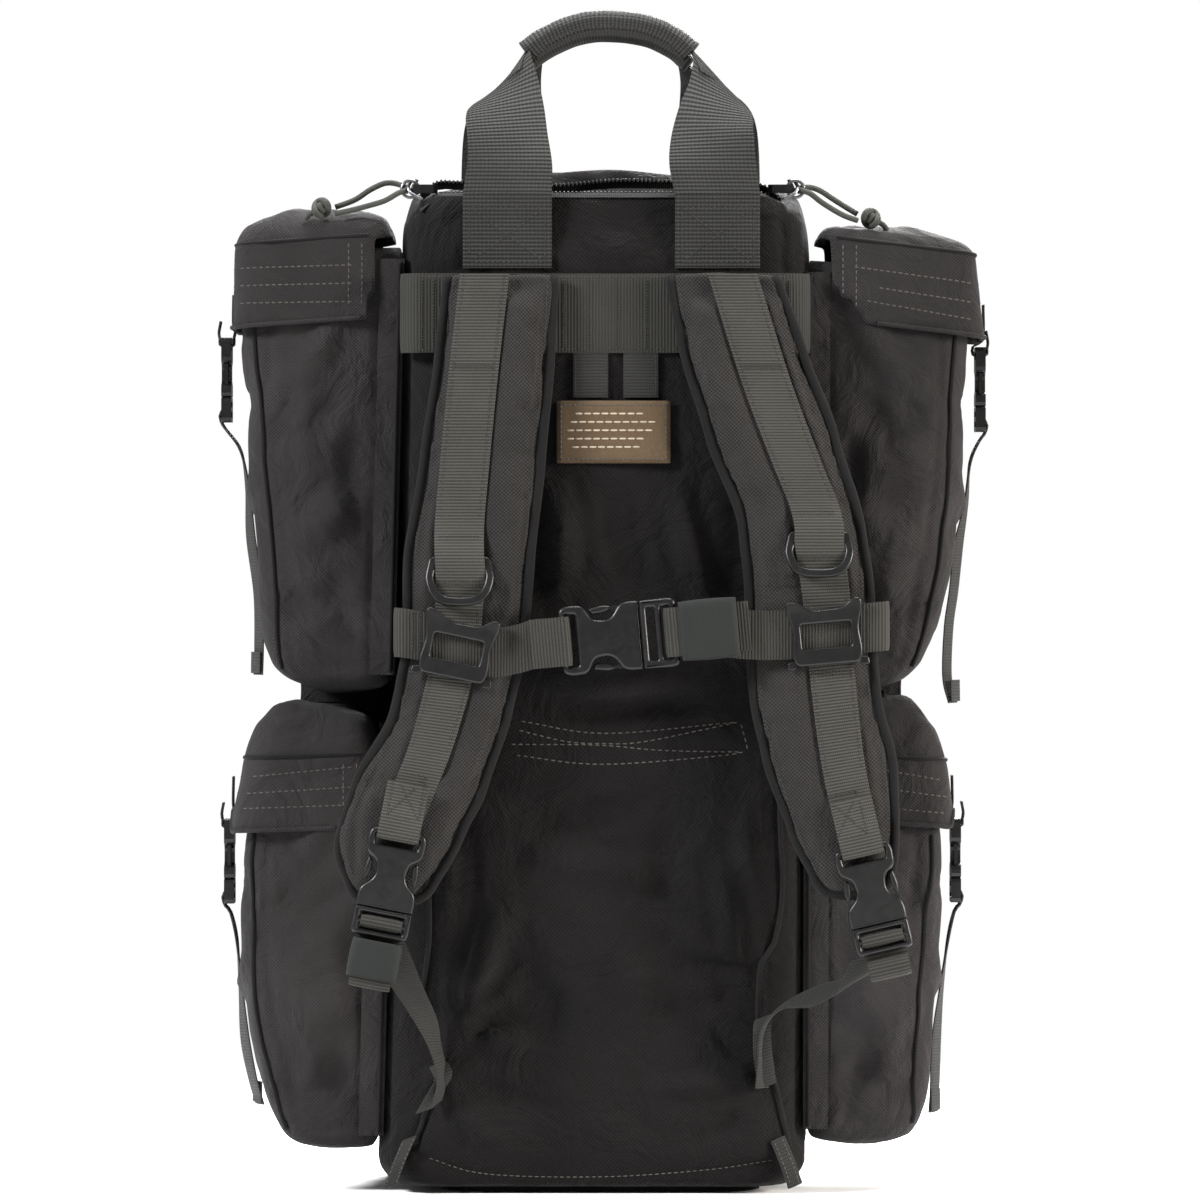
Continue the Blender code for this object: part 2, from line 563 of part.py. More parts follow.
# ---------------------------------------------------------------- buckles
def female_mesh(webbing, female):
    """Female half of a side-release buckle: bar at the top, mouth at z = -female."""
    half, thick = webbing * 0.68, webbing * 0.30
    spine, top, mouth = webbing * 0.25, female * 0.40, female * 0.80
    outline = rounded([(-half * 0.96, 0), (half * 0.96, 0), (half, -top), (spine, -top - 0.003),
                       (spine, -mouth + 0.002), (half, -mouth), (half, -female),
                       (-half, -female), (-half, -mouth), (-spine, -mouth + 0.002),
                       (-spine, -top - 0.003), (-half, -top)], 0.0025)
    eye = webbing * 0.5 + 0.0008
    slot = [(-eye, -0.0034), (-eye, -0.0076), (eye, -0.0076), (eye, -0.0034)]
    channel = box_mesh((-half + 0.0022, -thick / 2 + 0.0016, -female - 0.001),
                       (half - 0.0022, thick / 2 - 0.0016, -top + 0.0030))
    return combined(plate_mesh("female", [outline, slot], thick), [channel], "DIFFERENCE")


def male_mesh(webbing, female, male):
    """Male half of the same buckle: a ladder frame with two prongs and a guide."""
    half, thick = webbing * 0.68, webbing * 0.30
    start, end = -female - GAP, -female - GAP - male
    eye = webbing * 0.5 + 0.0008
    bar = male * 0.20
    outline = rounded([(-half, start), (-half, end), (half, end), (half, start)], 0.0025)
    holes = []
    for k in (0, 1):
        low = end + bar + k * male * 0.40
        holes.append([(-eye, low), (eye, low), (eye, low + male * 0.22),
                      (-eye, low + male * 0.22)])
    frame = plate_mesh("male", [outline] + holes, thick)
    tip, reach = -female * 0.44, half - 0.0028
    inner, guide = reach - webbing * 0.14, webbing * 0.07
    root = start - 0.001
    prongs = [(-reach, root), (-reach, tip), (-inner - 0.001, tip + 0.002), (-inner, root + 0.004),
              (-guide, root + 0.004), (-guide, tip * 1.25), (guide, tip * 1.25),
              (guide, root + 0.004), (inner, root + 0.004), (inner + 0.001, tip + 0.002),
              (reach, tip), (reach, root)]
    comb = plate_mesh("prongs", [prongs], thick - 2 * 0.0016 - 2 * GAP)
    return combined(frame, [comb], "UNION")


def place_buckle(prefix, meshes, where):
    """The two halves of one buckle, sharing their meshes with the others of their size."""
    for part, mesh in zip(("female", "male"), meshes):
        made = bpy.data.objects.new(f"{prefix}_buckle_{part}", mesh)
        made.matrix_world = where
        PARTS.objects.link(made)


def buckle_pair(kind):
    """Meshes of the female and male halves of one kind of buckle."""
    pair = female_mesh(kind["webbing"], kind["female"]), male_mesh(**kind)
    for mesh in pair:
        mesh.materials.clear()
        mesh.materials.append(PLASTIC)
    return pair


# ---------------------------------------------------------------- side pouches
def pouch(name, plan):
    """A hollow pouch, open at the top under its lid."""
    side = plan["side"]
    rows = []
    for index, (z, outer) in enumerate(plan["wall"]):
        inset = (0.012, 0.003, 0.0)[min(index, 2)]
        x0, x1 = span(side, wall_x(side, z) + 0.0006 + inset * 0.6, outer)

        def height(x, y, z=z, last=index == len(plan["wall"]) - 1):
            fall = plan["fall"] * (abs(x) - wall_x(side, z))
            return z - fall if last else z
        rows.append(ring(x0, x1, POUCH_FRONT + inset, POUCH_REAR - inset, 0.018, height,
                         along_x=2, along_y=1))
    made = finish("pouch_" + name, mesh_from(loft(rows), name), FABRIC)
    return thicken(made, POUCH_WALL, -1.0)


def hinge_out(plan):
    """Half-width of a lid's hinge line."""
    return wall_x(plan["side"], plan["hinge_z"]) + LID_HINGE_OUT


def buckle_top(plan):
    """Height of a pouch buckle's bar end, just under the hem of the lid's outer skirt."""
    skirt_z, skirt_out, _ = plan["lid"][0]
    return skirt_z - plan["fall"] * (skirt_out - hinge_out(plan)) - HEM_TO_BUCKLE


def lid_strap(plan):
    """The strap that leaves a lid's hem and loops round the buckle's bar, back to front."""
    side, out, top = plan["side"], plan["buckle"], buckle_top(plan)
    layer = POUCH_BUCKLE["webbing"] * 0.15 + GAP + WEBBING / 2 + 0.0002
    skirt = plan["lid"][0][1] - LID_WALL / 2
    hem = top + HEM_TO_BUCKLE
    path = [(skirt, hem + 0.0050), (skirt, hem - 0.0003), (out - layer, top + 0.0004),
            (out - layer, top - 0.0040), (out - layer * 0.55, top - 0.0055),
            (out + layer * 0.55, top - 0.0055), (out + layer, top - 0.0042),
            (out + layer, top - 0.0008), (out + layer + 0.0006, top + 0.0030)]
    middles = [(side * x, STRAP_Y, z) for x, z in path]
    return ribbon("strap", middles, [(0.0, STRAP_HALF, 0.0)] * len(path), STRAPPING, 0.0012)


def lid(name, plan):
    """A lid: a crowned top with front, outer and rear skirts, hinged beside the main bag."""
    side = plan["side"]
    hinge_x = hinge_out(plan)
    rows = []
    for index, (z, outer, inset) in enumerate(plan["lid"]):
        inner = hinge_x - 0.0005 + (0.0, 0.0, 0.010, 0.028)[index]
        x0, x1 = span(side, inner, outer)

        def height(x, y, z=z):
            return z - plan["fall"] * (abs(x) - hinge_x)
        rows.append(ring(x0, x1, POUCH_FRONT - LID_STANDOFF + inset,
                         POUCH_REAR + LID_STANDOFF - inset, 0.018, height, along_x=3, along_y=1))
    bm = loft(rows, close_first=False, close_last=True)
    skirts = list(bm.faces)[:len(rows[0])]
    parts = set(skirts)
    for face in skirts:
        parts |= set(face.verts) | set(face.edges)
    cut_x = side * (wall_x(side, plan["hinge_z"]) + SKIRT_START)
    bmesh.ops.bisect_plane(bm, geom=list(parts), plane_co=(cut_x, 0, 0), plane_no=(-side, 0, 0),
                           clear_outer=True)
    cap = thicken(finish("cap", mesh_from(bm, name), FABRIC), LID_WALL, -1.0)
    mesh = combined(settled(cap), [settled(lid_strap(plan))], "UNION")
    finish("lid_" + name, mesh, FABRIC, (side * hinge_x, 0.0, plan["hinge_z"]))


def pouches():
    """Four pouches with their lids, buckles and strap tails."""
    meshes = buckle_pair(POUCH_BUCKLE)
    for name, plan in POUCHES.items():
        side, out, top = plan["side"], plan["buckle"], buckle_top(plan)
        pouch(name, plan)
        lid(name, plan)
        where = Matrix.Translation((side * out, STRAP_Y, top)) @ Matrix.Rotation(
            side * math.pi / 2, 4, "Z")
        place_buckle("pouch_" + name, meshes, where)
        foot = top - POUCH_BUCKLE["female"] - POUCH_BUCKLE["male"] - 3 * GAP
        path = [(out, foot)] + plan["tail"]
        middles = smooth([(side * x, STRAP_Y, z) for x, z in path], 2)
        ribbon("pouch_" + name + "_tail", middles, [(0.0, STRAP_HALF, 0.0)] * len(middles),
               STRAPPING)


# ---------------------------------------------------------------- shoulder harness
def pad_y(z):
    """Middle of the shoulder pads' thickness at a height."""
    return HARNESS_TOP_Y - HARNESS_SLOPE * (HARNESS_TOP - z)


def shoulder_pads():
    """Both padded shoulder straps, which taper to a tip behind their buckles."""
    for hand, edges in PADS.items():
        rows = []
        for index, (z, left, right) in enumerate(edges):
            thick = PAD_THICK / 2 * (0.75 if index in (0, len(edges) - 1) else 1.0)
            middle = pad_y(z)
            rows.append(ring(left, right, middle - thick, middle + thick, thick * 0.8, z,
                             corner=2, along_x=2, along_y=0))
        bm = loft(list(reversed(rows)), close_last=True)
        finish("shoulder_pad_" + hand, mesh_from(bm, hand), PAD_FABRIC,
               (0.0, HARNESS_TOP_Y + 0.0075, HARNESS_TOP))


def buckle_matrix(hand):
    """Place of a shoulder buckle, its bar end at the origin and tilted in the panel's plane."""
    x, z, tilt = SHOULDER_BUCKLE_TOP[hand]
    return (Matrix.Translation((x, SHOULDER_BUCKLE_Y, z))
            @ Matrix.Rotation(math.radians(tilt), 4, "Y"))


def shoulder_webbing(hand):
    """The strap sewn down a pad, over the D-ring's bar and round the buckle's bar."""
    lift = PAD_THICK / 2 + GAP + WEBBING / 2
    bar_x, bar_z = RING_BAR[hand]
    hump = lift + 2 * D_RING_WIRE + 0.0008
    above = [(x, pad_y(z) - lift, z) for x, z in SHOULDER_WEBBING[hand]]
    over = [(bar_x - 0.0003, pad_y(bar_z + 0.007) - hump + 0.0008, bar_z + 0.007),
            (bar_x, pad_y(bar_z) - hump, bar_z),
            (bar_x + 0.0003, pad_y(bar_z - 0.007) - hump + 0.0008, bar_z - 0.007)]
    below = [(x, pad_y(z) - lift, z) for x, z in WEBBING_BELOW_RING[hand]]
    where = buckle_matrix(hand)
    back = SHOULDER_BUCKLE["webbing"] * 0.15 + GAP + WEBBING / 2 + 0.0002
    loop = [(0.0, back, 0.008), (0.0, back, -0.0010), (0.0, back, -0.0042),
            (0.0, back * 0.55, -0.0055), (0.0, -back * 0.55, -0.0055), (0.0, -back, -0.0042),
            (0.0, -back, -0.0010), (0.0, -back, 0.0070), (0.0, -back + 0.0035, 0.0180),
            (0.0, -back + 0.0045, 0.0290)]
    turned = [where @ Vector(p) for p in loop]
    x_axis = (where.to_3x3() @ Vector((1, 0, 0))).normalized()
    level = Vector((1, 0, 0))
    middles = above + over + below + turned
    halves = [level * SHOULDER_HALF] * len(above + over)
    halves += [level.lerp(x_axis, (k + 1) / 5) * (SHOULDER_HALF - 0.0005 * (k + 1))
               for k in range(len(below))]
    halves += [x_axis * SHOULDER_BUCKLE["webbing"] / 2] * len(turned)
    ribbon("shoulder_webbing_" + hand, middles, halves, STRAPPING,
           origin=(0.0, HARNESS_TOP_Y + 0.0075, HARNESS_TOP))


def d_ring(hand):
    """A D-ring hanging from its flat bar, which the shoulder webbing crosses."""
    bar_x, bar_z = RING_BAR[hand]
    y = pad_y(bar_z) - PAD_THICK / 2 - GAP - D_RING_WIRE - 0.0001
    drop, forward = D_RING_DROP[hand], 0.0084
    points = []
    for k in range(13):
        angle = math.radians(180 + 15 * k)
        points.append((bar_x + D_RING_HALF * math.cos(angle),
                       y - forward * (0.35 - 0.65 * math.sin(angle)),
                       bar_z - 0.004 + (drop - 0.004) * math.sin(angle)))
    points += [(bar_x + D_RING_HALF * 0.93, y, bar_z), (bar_x, y, bar_z),
               (bar_x - D_RING_HALF * 0.93, y, bar_z)]
    ringed = tube("d_ring_" + hand, [Vector(p) - Vector((bar_x, y, bar_z)) for p in points],
                  D_RING_WIRE, PLASTIC, cyclic=True)
    ringed.location = (bar_x, y, bar_z)


def shoulder_tails():
    """The spare webbing at the two lower buckles, folded on the left and rolled on the right."""
    front = SHOULDER_BUCKLE["webbing"] * 0.15 + GAP + WEBBING / 2 + 0.0003
    folded = [(-front, -0.0545), (-front, -0.0640), (-0.0035, -0.0700), (-0.0020, -0.0900),
              (0.0005, -0.0945), (0.0035, -0.0930), (0.0045, -0.0860), (0.0045, -0.0705)]
    rolled = [(-front, -0.0545), (-front, -0.0640), (-front + 0.0010, -0.0700)]
    turns, inner, pitch = 1.75, 0.0022, 0.0027
    outer = inner + pitch * turns
    centre = (-front + 0.0010 + outer, -0.0740)
    for k in range(int(turns * 10) + 1):
        angle = math.pi + math.radians(36 * k)
        radius = outer - pitch * k / 10
        rolled.append((centre[0] + radius * math.cos(angle), centre[1] + radius * math.sin(angle)))
    for hand, path in (("left", folded), ("right", rolled)):
        where = buckle_matrix(hand)
        middles = [where @ Vector((0.0, y, z)) for y, z in path]
        half = (where.to_3x3() @ Vector((1, 0, 0))) * (SHOULDER_BUCKLE["webbing"] / 2)
        ribbon("shoulder_tail_" + hand, middles, [half] * len(middles), STRAPPING)


def lower_straps():
    """The lower shoulder straps, twisted and sewn into the bag's edges near the base."""
    left = [(-0.1290, -0.1300, 0.1500), (-0.1180, -0.1260, 0.1290), (-0.1065, -0.1200, 0.1080),
            (-0.0990, -0.1150, 0.0880), (-0.0950, -0.1115, 0.0700)]
    left_half = [(0.0122, 0, -0.0024), (0.0118, 0.001, -0.003), (0.0080, 0.005, -0.002),
                 (0.0030, 0.0085, 0), (0.0008, 0.0095, 0)]
    right = [(0.1600, -0.1300, 0.1400), (0.1480, -0.1270, 0.1270), (0.1280, -0.1215, 0.1200),
             (0.1080, -0.1165, 0.1130), (0.0970, -0.1130, 0.0990), (0.0955, -0.1115, 0.0760)]
    right_half = [(0.0120, 0, 0.0028), (0.0100, 0.004, 0.005), (0.0030, 0.0100, 0.004),
                  (0.0010, 0.0100, 0.001), (0.0008, 0.0095, 0), (0.0008, 0.0095, 0)]
    for hand, middles, halves in (("left", left, left_half), ("right", right, right_half)):
        ribbon("lower_strap_" + hand, smooth(middles, 3), smooth(halves, 3), STRAPPING)


# ---------------------------------------------------------------- sternum strap
def sternum_matrix():
    """Place of the sternum buckle, its bar end at the origin and its axis along the strap."""
    x, z = STERNUM_START
    return (Matrix.Translation((x, STERNUM_Y, z))
            @ Matrix.Rotation(-math.radians(90 + STERNUM_RISE), 4, "Y"))


def sternum_webbing():
    """The two ends of the sternum strap, each wrapped round its shoulder pad."""
    y_front = pad_y(0.310) - PAD_THICK / 2 - WEBBING - 2 * GAP - WEBBING / 2 - 0.0002
    y_back = pad_y(0.33) + PAD_THICK / 2 + GAP + WEBBING / 2 + 0.0012
    back = STERNUM_BUCKLE["webbing"] * 0.15 + GAP + WEBBING / 2 + 0.0002
    where = sternum_matrix()
    turned = [where @ Vector(p) for p in (
        (0.0, back - 0.0035, 0.0160), (0.0, back - 0.0005, 0.0060), (0.0, back, -0.0010),
        (0.0, back, -0.0042), (0.0, back * 0.55, -0.0055), (0.0, -back * 0.55, -0.0055),
        (0.0, -back, -0.0042), (0.0, -back, -0.0010), (0.0, -back + 0.0010, 0.0080),
        (0.0, -back + 0.0035, 0.0180))]
    left = [(-0.0800, y_back, 0.3330), (-0.1080, y_back, 0.3360), (-0.1180, y_back, 0.3370),
            (-0.1222, y_back - 0.0030, 0.3372), (-0.1232, pad_y(0.33), 0.3372),
            (-0.1222, y_front + 0.0030, 0.3372), (-0.1180, y_front, 0.3368),
            (-0.1080, y_front, 0.3350), (-0.0855, y_front, 0.3290), (-0.0660, y_front, 0.3250),
            (-0.0510, y_front + 0.0012, 0.3270)]
    right = [(0.1250, y_back, 0.3390), (0.1550, y_back, 0.3410), (0.1650, y_back, 0.3410),
             (0.1705, y_back - 0.0030, 0.3410), (0.1716, pad_y(0.33), 0.3410),
             (0.1705, y_front + 0.0030, 0.3410), (0.1650, y_front, 0.3405),
             (0.1341, y_front, 0.3375), (0.1050, y_front, 0.3355), (0.0850, y_front, 0.3360),
             (0.0690, y_front + 0.0004, 0.3375)]
    upright = Vector((0, 0, STERNUM_STRAP_HALF))
    along = -(where.to_3x3() @ Vector((1, 0, 0))) * STERNUM_STRAP_HALF
    if along.z < 0:
        along = -along
    ribbon("sternum_webbing_left", left + turned, [upright] * len(left) + [along] * len(turned),
           STRAPPING)
    ribbon("sternum_webbing_right", right, [upright] * len(right), STRAPPING)


def sternum_tail():
    """The spare end of the sternum strap and the elastic keeper that holds it."""
    where = sternum_matrix()
    across = (where.to_3x3() @ Vector((1, 0, 0))) * STERNUM_STRAP_HALF
    front = STERNUM_BUCKLE["webbing"] * 0.15 + GAP + WEBBING / 2 + 0.0003
    path = [(0.0, -0.0629), (-front * 0.7, -0.0630), (-front, -0.0646), (-front, -0.0700),
            (-front + 0.0008, -0.0750), (-0.0036, -0.0815), (-0.0027, -0.0900),
            (-0.0027, -0.1130)]
    middles = [where @ Vector((0.0, y, z)) for y, z in path]
    ribbon("sternum_tail", middles, [across] * len(path), STRAPPING)
    band = (0.0, -0.0027)
    half_y, half_x, near, far = 0.0021, 0.0172, -0.0905, -0.1080
    rows = []
    for z in (far, near):
        rows.append([where @ Vector((x, band[1] + y, z)) for x, y in (
            (half_x, -half_y), (half_x, half_y), (-half_x, half_y), (-half_x, -half_y))])
    bm = loft(rows, close_first=False)
    bmesh.ops.recalc_face_normals(bm, faces=bm.faces)
    thicken(finish("sternum_keeper", mesh_from(bm, "keeper"), ELASTIC), 0.0012, 1.0)


def sternum_slider(hand):
    """The ladder plate that holds the sternum strap to a shoulder strap."""
    x, z, tilt = STERNUM_SLIDERS[hand]
    half_x, half_z = 0.0230, 0.0185
    outline = rounded([(-half_x, -half_z), (-half_x + 0.006, -half_z - 0.0012),
                       (half_x - 0.006, -half_z - 0.0012), (half_x, -half_z),
                       (half_x, half_z * 0.55), (half_x - 0.005, half_z + 0.001),
                       (half_x * 0.35, half_z - 0.0025), (-half_x * 0.35, half_z - 0.0025),
                       (-half_x + 0.005, half_z + 0.001), (-half_x, half_z * 0.55)], 0.004)
    window = rounded([(-0.0155, -0.0055), (0.0155, -0.0055), (0.0155, 0.0060),
                      (-0.0155, 0.0060)], 0.0015)
    mesh = plate_mesh("slider_plate", [outline, window], 0.0038)
    mesh.materials.append(PLASTIC)
    y = pad_y(z - 0.021) - PAD_THICK / 2 - 2 * WEBBING - 3 * GAP - 0.0019 - 0.0006
    made = bpy.data.objects.new("sternum_slider_" + hand, mesh)
    made.matrix_world = (Matrix.Translation((x, y, z))
                         @ Matrix.Rotation(math.radians(tilt), 4, "Y"))
    PARTS.objects.link(made)


def harness():
    """Everything that hangs from the shoulder seam."""
    shoulder_pads()
    meshes = buckle_pair(SHOULDER_BUCKLE)
    for hand in ("left", "right"):
        shoulder_webbing(hand)
        d_ring(hand)
        sternum_slider(hand)
        place_buckle("shoulder_" + hand, meshes, buckle_matrix(hand))
    shoulder_tails()
    lower_straps()
    sternum_webbing()
    place_buckle("sternum", buckle_pair(STERNUM_BUCKLE), sternum_matrix())
    sternum_tail()


def shade():
    """Smooth shading with sharp edges kept."""
    for piece in PARTS.objects:
        if piece.type == "MESH":
            piece.data.shade_smooth()
            piece.data.set_sharp_from_angle(angle=math.radians(40))


main_shell()
base_and_frame()
panel_trim()
zipper_tapes()
zipper_hardware()
carry_handle()
pouches()
harness()
shade()
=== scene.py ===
import math

import bmesh
import bpy
import numpy as np
from mathutils import Matrix, Vector, noise
from mathutils.bvhtree import BVHTree
from mathutils.kdtree import KDTree


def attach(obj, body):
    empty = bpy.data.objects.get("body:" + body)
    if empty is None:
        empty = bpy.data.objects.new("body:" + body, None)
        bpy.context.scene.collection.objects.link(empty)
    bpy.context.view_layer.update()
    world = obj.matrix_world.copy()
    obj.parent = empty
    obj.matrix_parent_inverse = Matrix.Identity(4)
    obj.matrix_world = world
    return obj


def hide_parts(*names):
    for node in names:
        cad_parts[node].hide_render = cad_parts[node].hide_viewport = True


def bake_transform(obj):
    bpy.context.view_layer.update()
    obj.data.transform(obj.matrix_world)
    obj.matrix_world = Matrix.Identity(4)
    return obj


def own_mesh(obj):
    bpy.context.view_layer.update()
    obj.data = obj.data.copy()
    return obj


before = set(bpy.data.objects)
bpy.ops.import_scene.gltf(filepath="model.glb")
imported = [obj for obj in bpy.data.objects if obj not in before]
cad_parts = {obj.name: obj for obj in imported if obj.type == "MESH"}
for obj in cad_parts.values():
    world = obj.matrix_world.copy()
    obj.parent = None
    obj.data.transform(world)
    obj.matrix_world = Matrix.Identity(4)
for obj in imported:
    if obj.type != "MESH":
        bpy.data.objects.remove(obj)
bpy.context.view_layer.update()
scene = bpy.context.scene


# ================================================================ camera and light
def aim(thing, target):
    thing.rotation_euler = (Vector(target) - thing.location).to_track_quat("-Z", "Y").to_euler()


camera = bpy.data.objects.new("camera", bpy.data.cameras.new("camera"))
scene.collection.objects.link(camera)
camera.data.sensor_width = 36.0
camera.data.lens = 250.0
EYE_X, EYE_AWAY, EYE_HEIGHT = -0.0006, 5.1, 0.3565
camera.location = (EYE_X, -EYE_AWAY, EYE_HEIGHT)
aim(camera, (EYE_X, 0.0, EYE_HEIGHT))
camera.data.clip_end = 50.0
scene.camera = camera


def area_light(name, place, target, size, power, colour=(1.0, 1.0, 1.0)):
    lamp = bpy.data.lights.new(name, "AREA")
    lamp.shape = "RECTANGLE"
    lamp.size, lamp.size_y = size
    lamp.energy = power
    lamp.color = colour
    holder = bpy.data.objects.new(name, lamp)
    scene.collection.objects.link(holder)
    holder.location = place
    aim(holder, target)


area_light("key", (-2.0, -1.2, 1.6), (0.0, 0.0, 0.35), (0.6, 0.6), 165.0, (0.98, 0.985, 1.0))
area_light("fill", (2.2, -0.9, 0.8), (0.0, 0.0, 0.30), (0.6, 0.8), 140.0, (1.0, 0.95, 0.89))
area_light("top", (0.1, 0.2, 2.3), (0.0, 0.0, 0.40), (1.0, 1.0), 110.0)
area_light("back", (0.4, 2.2, 1.4), (0.0, 0.0, 0.35), (1.2, 0.9), 120.0)

# the backdrop is white, and the light it gives is softer than that
AMBIENT = 0.55
world = bpy.data.worlds.new("studio")
world.use_nodes = True
sky = world.node_tree
sky.nodes["Background"].inputs["Color"].default_value = (1.0, 1.0, 1.0, 1.0)
backdrop = sky.nodes.new("ShaderNodeMath")
backdrop.operation = "MULTIPLY_ADD"
backdrop.inputs[1].default_value = 1.0 - AMBIENT
backdrop.inputs[2].default_value = AMBIENT
sky.links.new(sky.nodes.new("ShaderNodeLightPath").outputs["Is Camera Ray"], backdrop.inputs[0])
sky.links.new(backdrop.outputs[0], sky.nodes["Background"].inputs["Strength"])
scene.world = world
scene.view_settings.view_transform = "Standard"


# ================================================================ materials
def new_material(name):
    made = bpy.data.materials.new(name)
    made.use_nodes = True
    return made, made.node_tree, made.node_tree.nodes["Principled BSDF"]


def sums(tree, operation, a, b=None, c=None):
    """A Math node; a, b and c are sockets or numbers."""
    made = tree.nodes.new("ShaderNodeMath")
    made.operation = operation
    for socket, value in zip(made.inputs, (a, b, c)):
        if value is None:
            continue
        if isinstance(value, (int, float)):
            socket.default_value = value
        else:
            tree.links.new(value, socket)
    return made.outputs[0]


def noisy(tree, where, scale, detail, rough=0.55, warp=0.0):
    made = tree.nodes.new("ShaderNodeTexNoise")
    made.inputs["Scale"].default_value = scale
    made.inputs["Detail"].default_value = detail
    made.inputs["Roughness"].default_value = rough
    made.inputs["Distortion"].default_value = warp
    tree.links.new(where, made.inputs["Vector"])
    return made.outputs["Fac"]


def ramp(tree, factor, stops):
    made = tree.nodes.new("ShaderNodeValToRGB")
    made.color_ramp.elements.remove(made.color_ramp.elements[0])
    for index, (at, colour) in enumerate(stops):
        element = made.color_ramp.elements[0] if index == 0 else made.color_ramp.elements.new(at)
        element.position = at
        element.color = (*colour, 1.0)
    tree.links.new(factor, made.inputs["Fac"])
    return made.outputs["Color"]


def bump(tree, height, distance, strength, after=None):
    made = tree.nodes.new("ShaderNodeBump")
    made.inputs["Distance"].default_value = distance
    made.inputs["Strength"].default_value = strength
    tree.links.new(height, made.inputs["Height"])
    if after is not None:
        tree.links.new(after, made.inputs["Normal"])
    return made.outputs["Normal"]


def mixed(tree, *parts):
    """The sum of sockets, each times its share."""
    total = sums(tree, "MULTIPLY", *parts[0])
    for part in parts[1:]:
        total = sums(tree, "ADD", total, sums(tree, "MULTIPLY", *part))
    return total


def painted(tree, shader, factor, colour, stops):
    """Base colour: one colour times a strength at each stop of a factor."""
    tree.links.new(ramp(tree, factor, [(at, tuple(c * k for c in colour)) for at, k in stops]),
                   shader.inputs["Base Color"])


def surface_axes(tree):
    """Two coordinates that lie in the surface, in metres, whichever way it faces."""
    where = tree.nodes.new("ShaderNodeTexCoord")
    place = tree.nodes.new("ShaderNodeSeparateXYZ")
    facing = tree.nodes.new("ShaderNodeSeparateXYZ")
    tree.links.new(where.outputs["Object"], place.inputs[0])
    tree.links.new(where.outputs["Normal"], facing.inputs[0])
    ax, ay, az = (sums(tree, "ABSOLUTE", facing.outputs[k]) for k in range(3))
    sideways = sums(tree, "GREATER_THAN", ax, sums(tree, "MAXIMUM", ay, az))
    upwards = sums(tree, "GREATER_THAN", az, sums(tree, "MAXIMUM", ax, ay))
    x, y, z = place.outputs

    def choose(a, b, pick):
        return sums(tree, "ADD", sums(tree, "MULTIPLY", a, sums(tree, "SUBTRACT", 1.0, pick)),
                    sums(tree, "MULTIPLY", b, pick))
    return choose(x, y, sideways), choose(z, y, upwards), where.outputs["Object"]


CLOTH_ROUGH, STRAP_ROUGH = 0.86, 0.74


def cloth(name, colour, pitch=0.0020, weave=0.6, wrinkle=0.0070, contrast=0.55, shine=0.10):
    """Heavy woven nylon: a diagonal basket weave, cloudy colour and soft crumples."""
    made, tree, shader = new_material(name)
    u, v, where = surface_axes(tree)
    slip = sums(tree, "MULTIPLY", noisy(tree, where, 60.0, 2.0), 6.0)
    turn = 2 * math.pi / pitch
    warp = sums(tree, "SINE", sums(tree, "MULTIPLY_ADD", u, turn, slip))
    weft = sums(tree, "SINE", sums(tree, "MULTIPLY_ADD", v, turn, slip))
    threads = sums(tree, "MULTIPLY_ADD", sums(tree, "MULTIPLY", warp, weft), 0.5, 0.5)
    clouds = noisy(tree, where, 11.0, 4.0, 0.6, 0.4)
    # the specks, and the ramp's top stop that brightens them where the weave's crossings are bright
    # too, are partly the yarn's own uneven tone and partly painted glints of light at the weave
    # crossings
    specks = noisy(tree, where, 800.0, 2.0, 0.7)
    tone = mixed(tree, (threads, contrast), (clouds, 0.45), (specks, 0.30))
    painted(tree, shader, tone, colour, ((0.25, 0.30), (0.62, 1.0), (1.00, 2.3)))
    crumple = noisy(tree, where, 26.0, 6.0, 0.58, 1.6)
    first = bump(tree, crumple, wrinkle, 0.8)
    tree.links.new(bump(tree, threads, 0.00030, weave, first), shader.inputs["Normal"])
    tree.links.new(sums(tree, "MULTIPLY_ADD", specks, 0.18, CLOTH_ROUGH - 0.09),
                   shader.inputs["Roughness"])
    shader.inputs["Sheen Weight"].default_value = 0.03
    shader.inputs["Sheen Roughness"].default_value = 0.45
    shader.inputs["Specular IOR Level"].default_value = shine
    return made


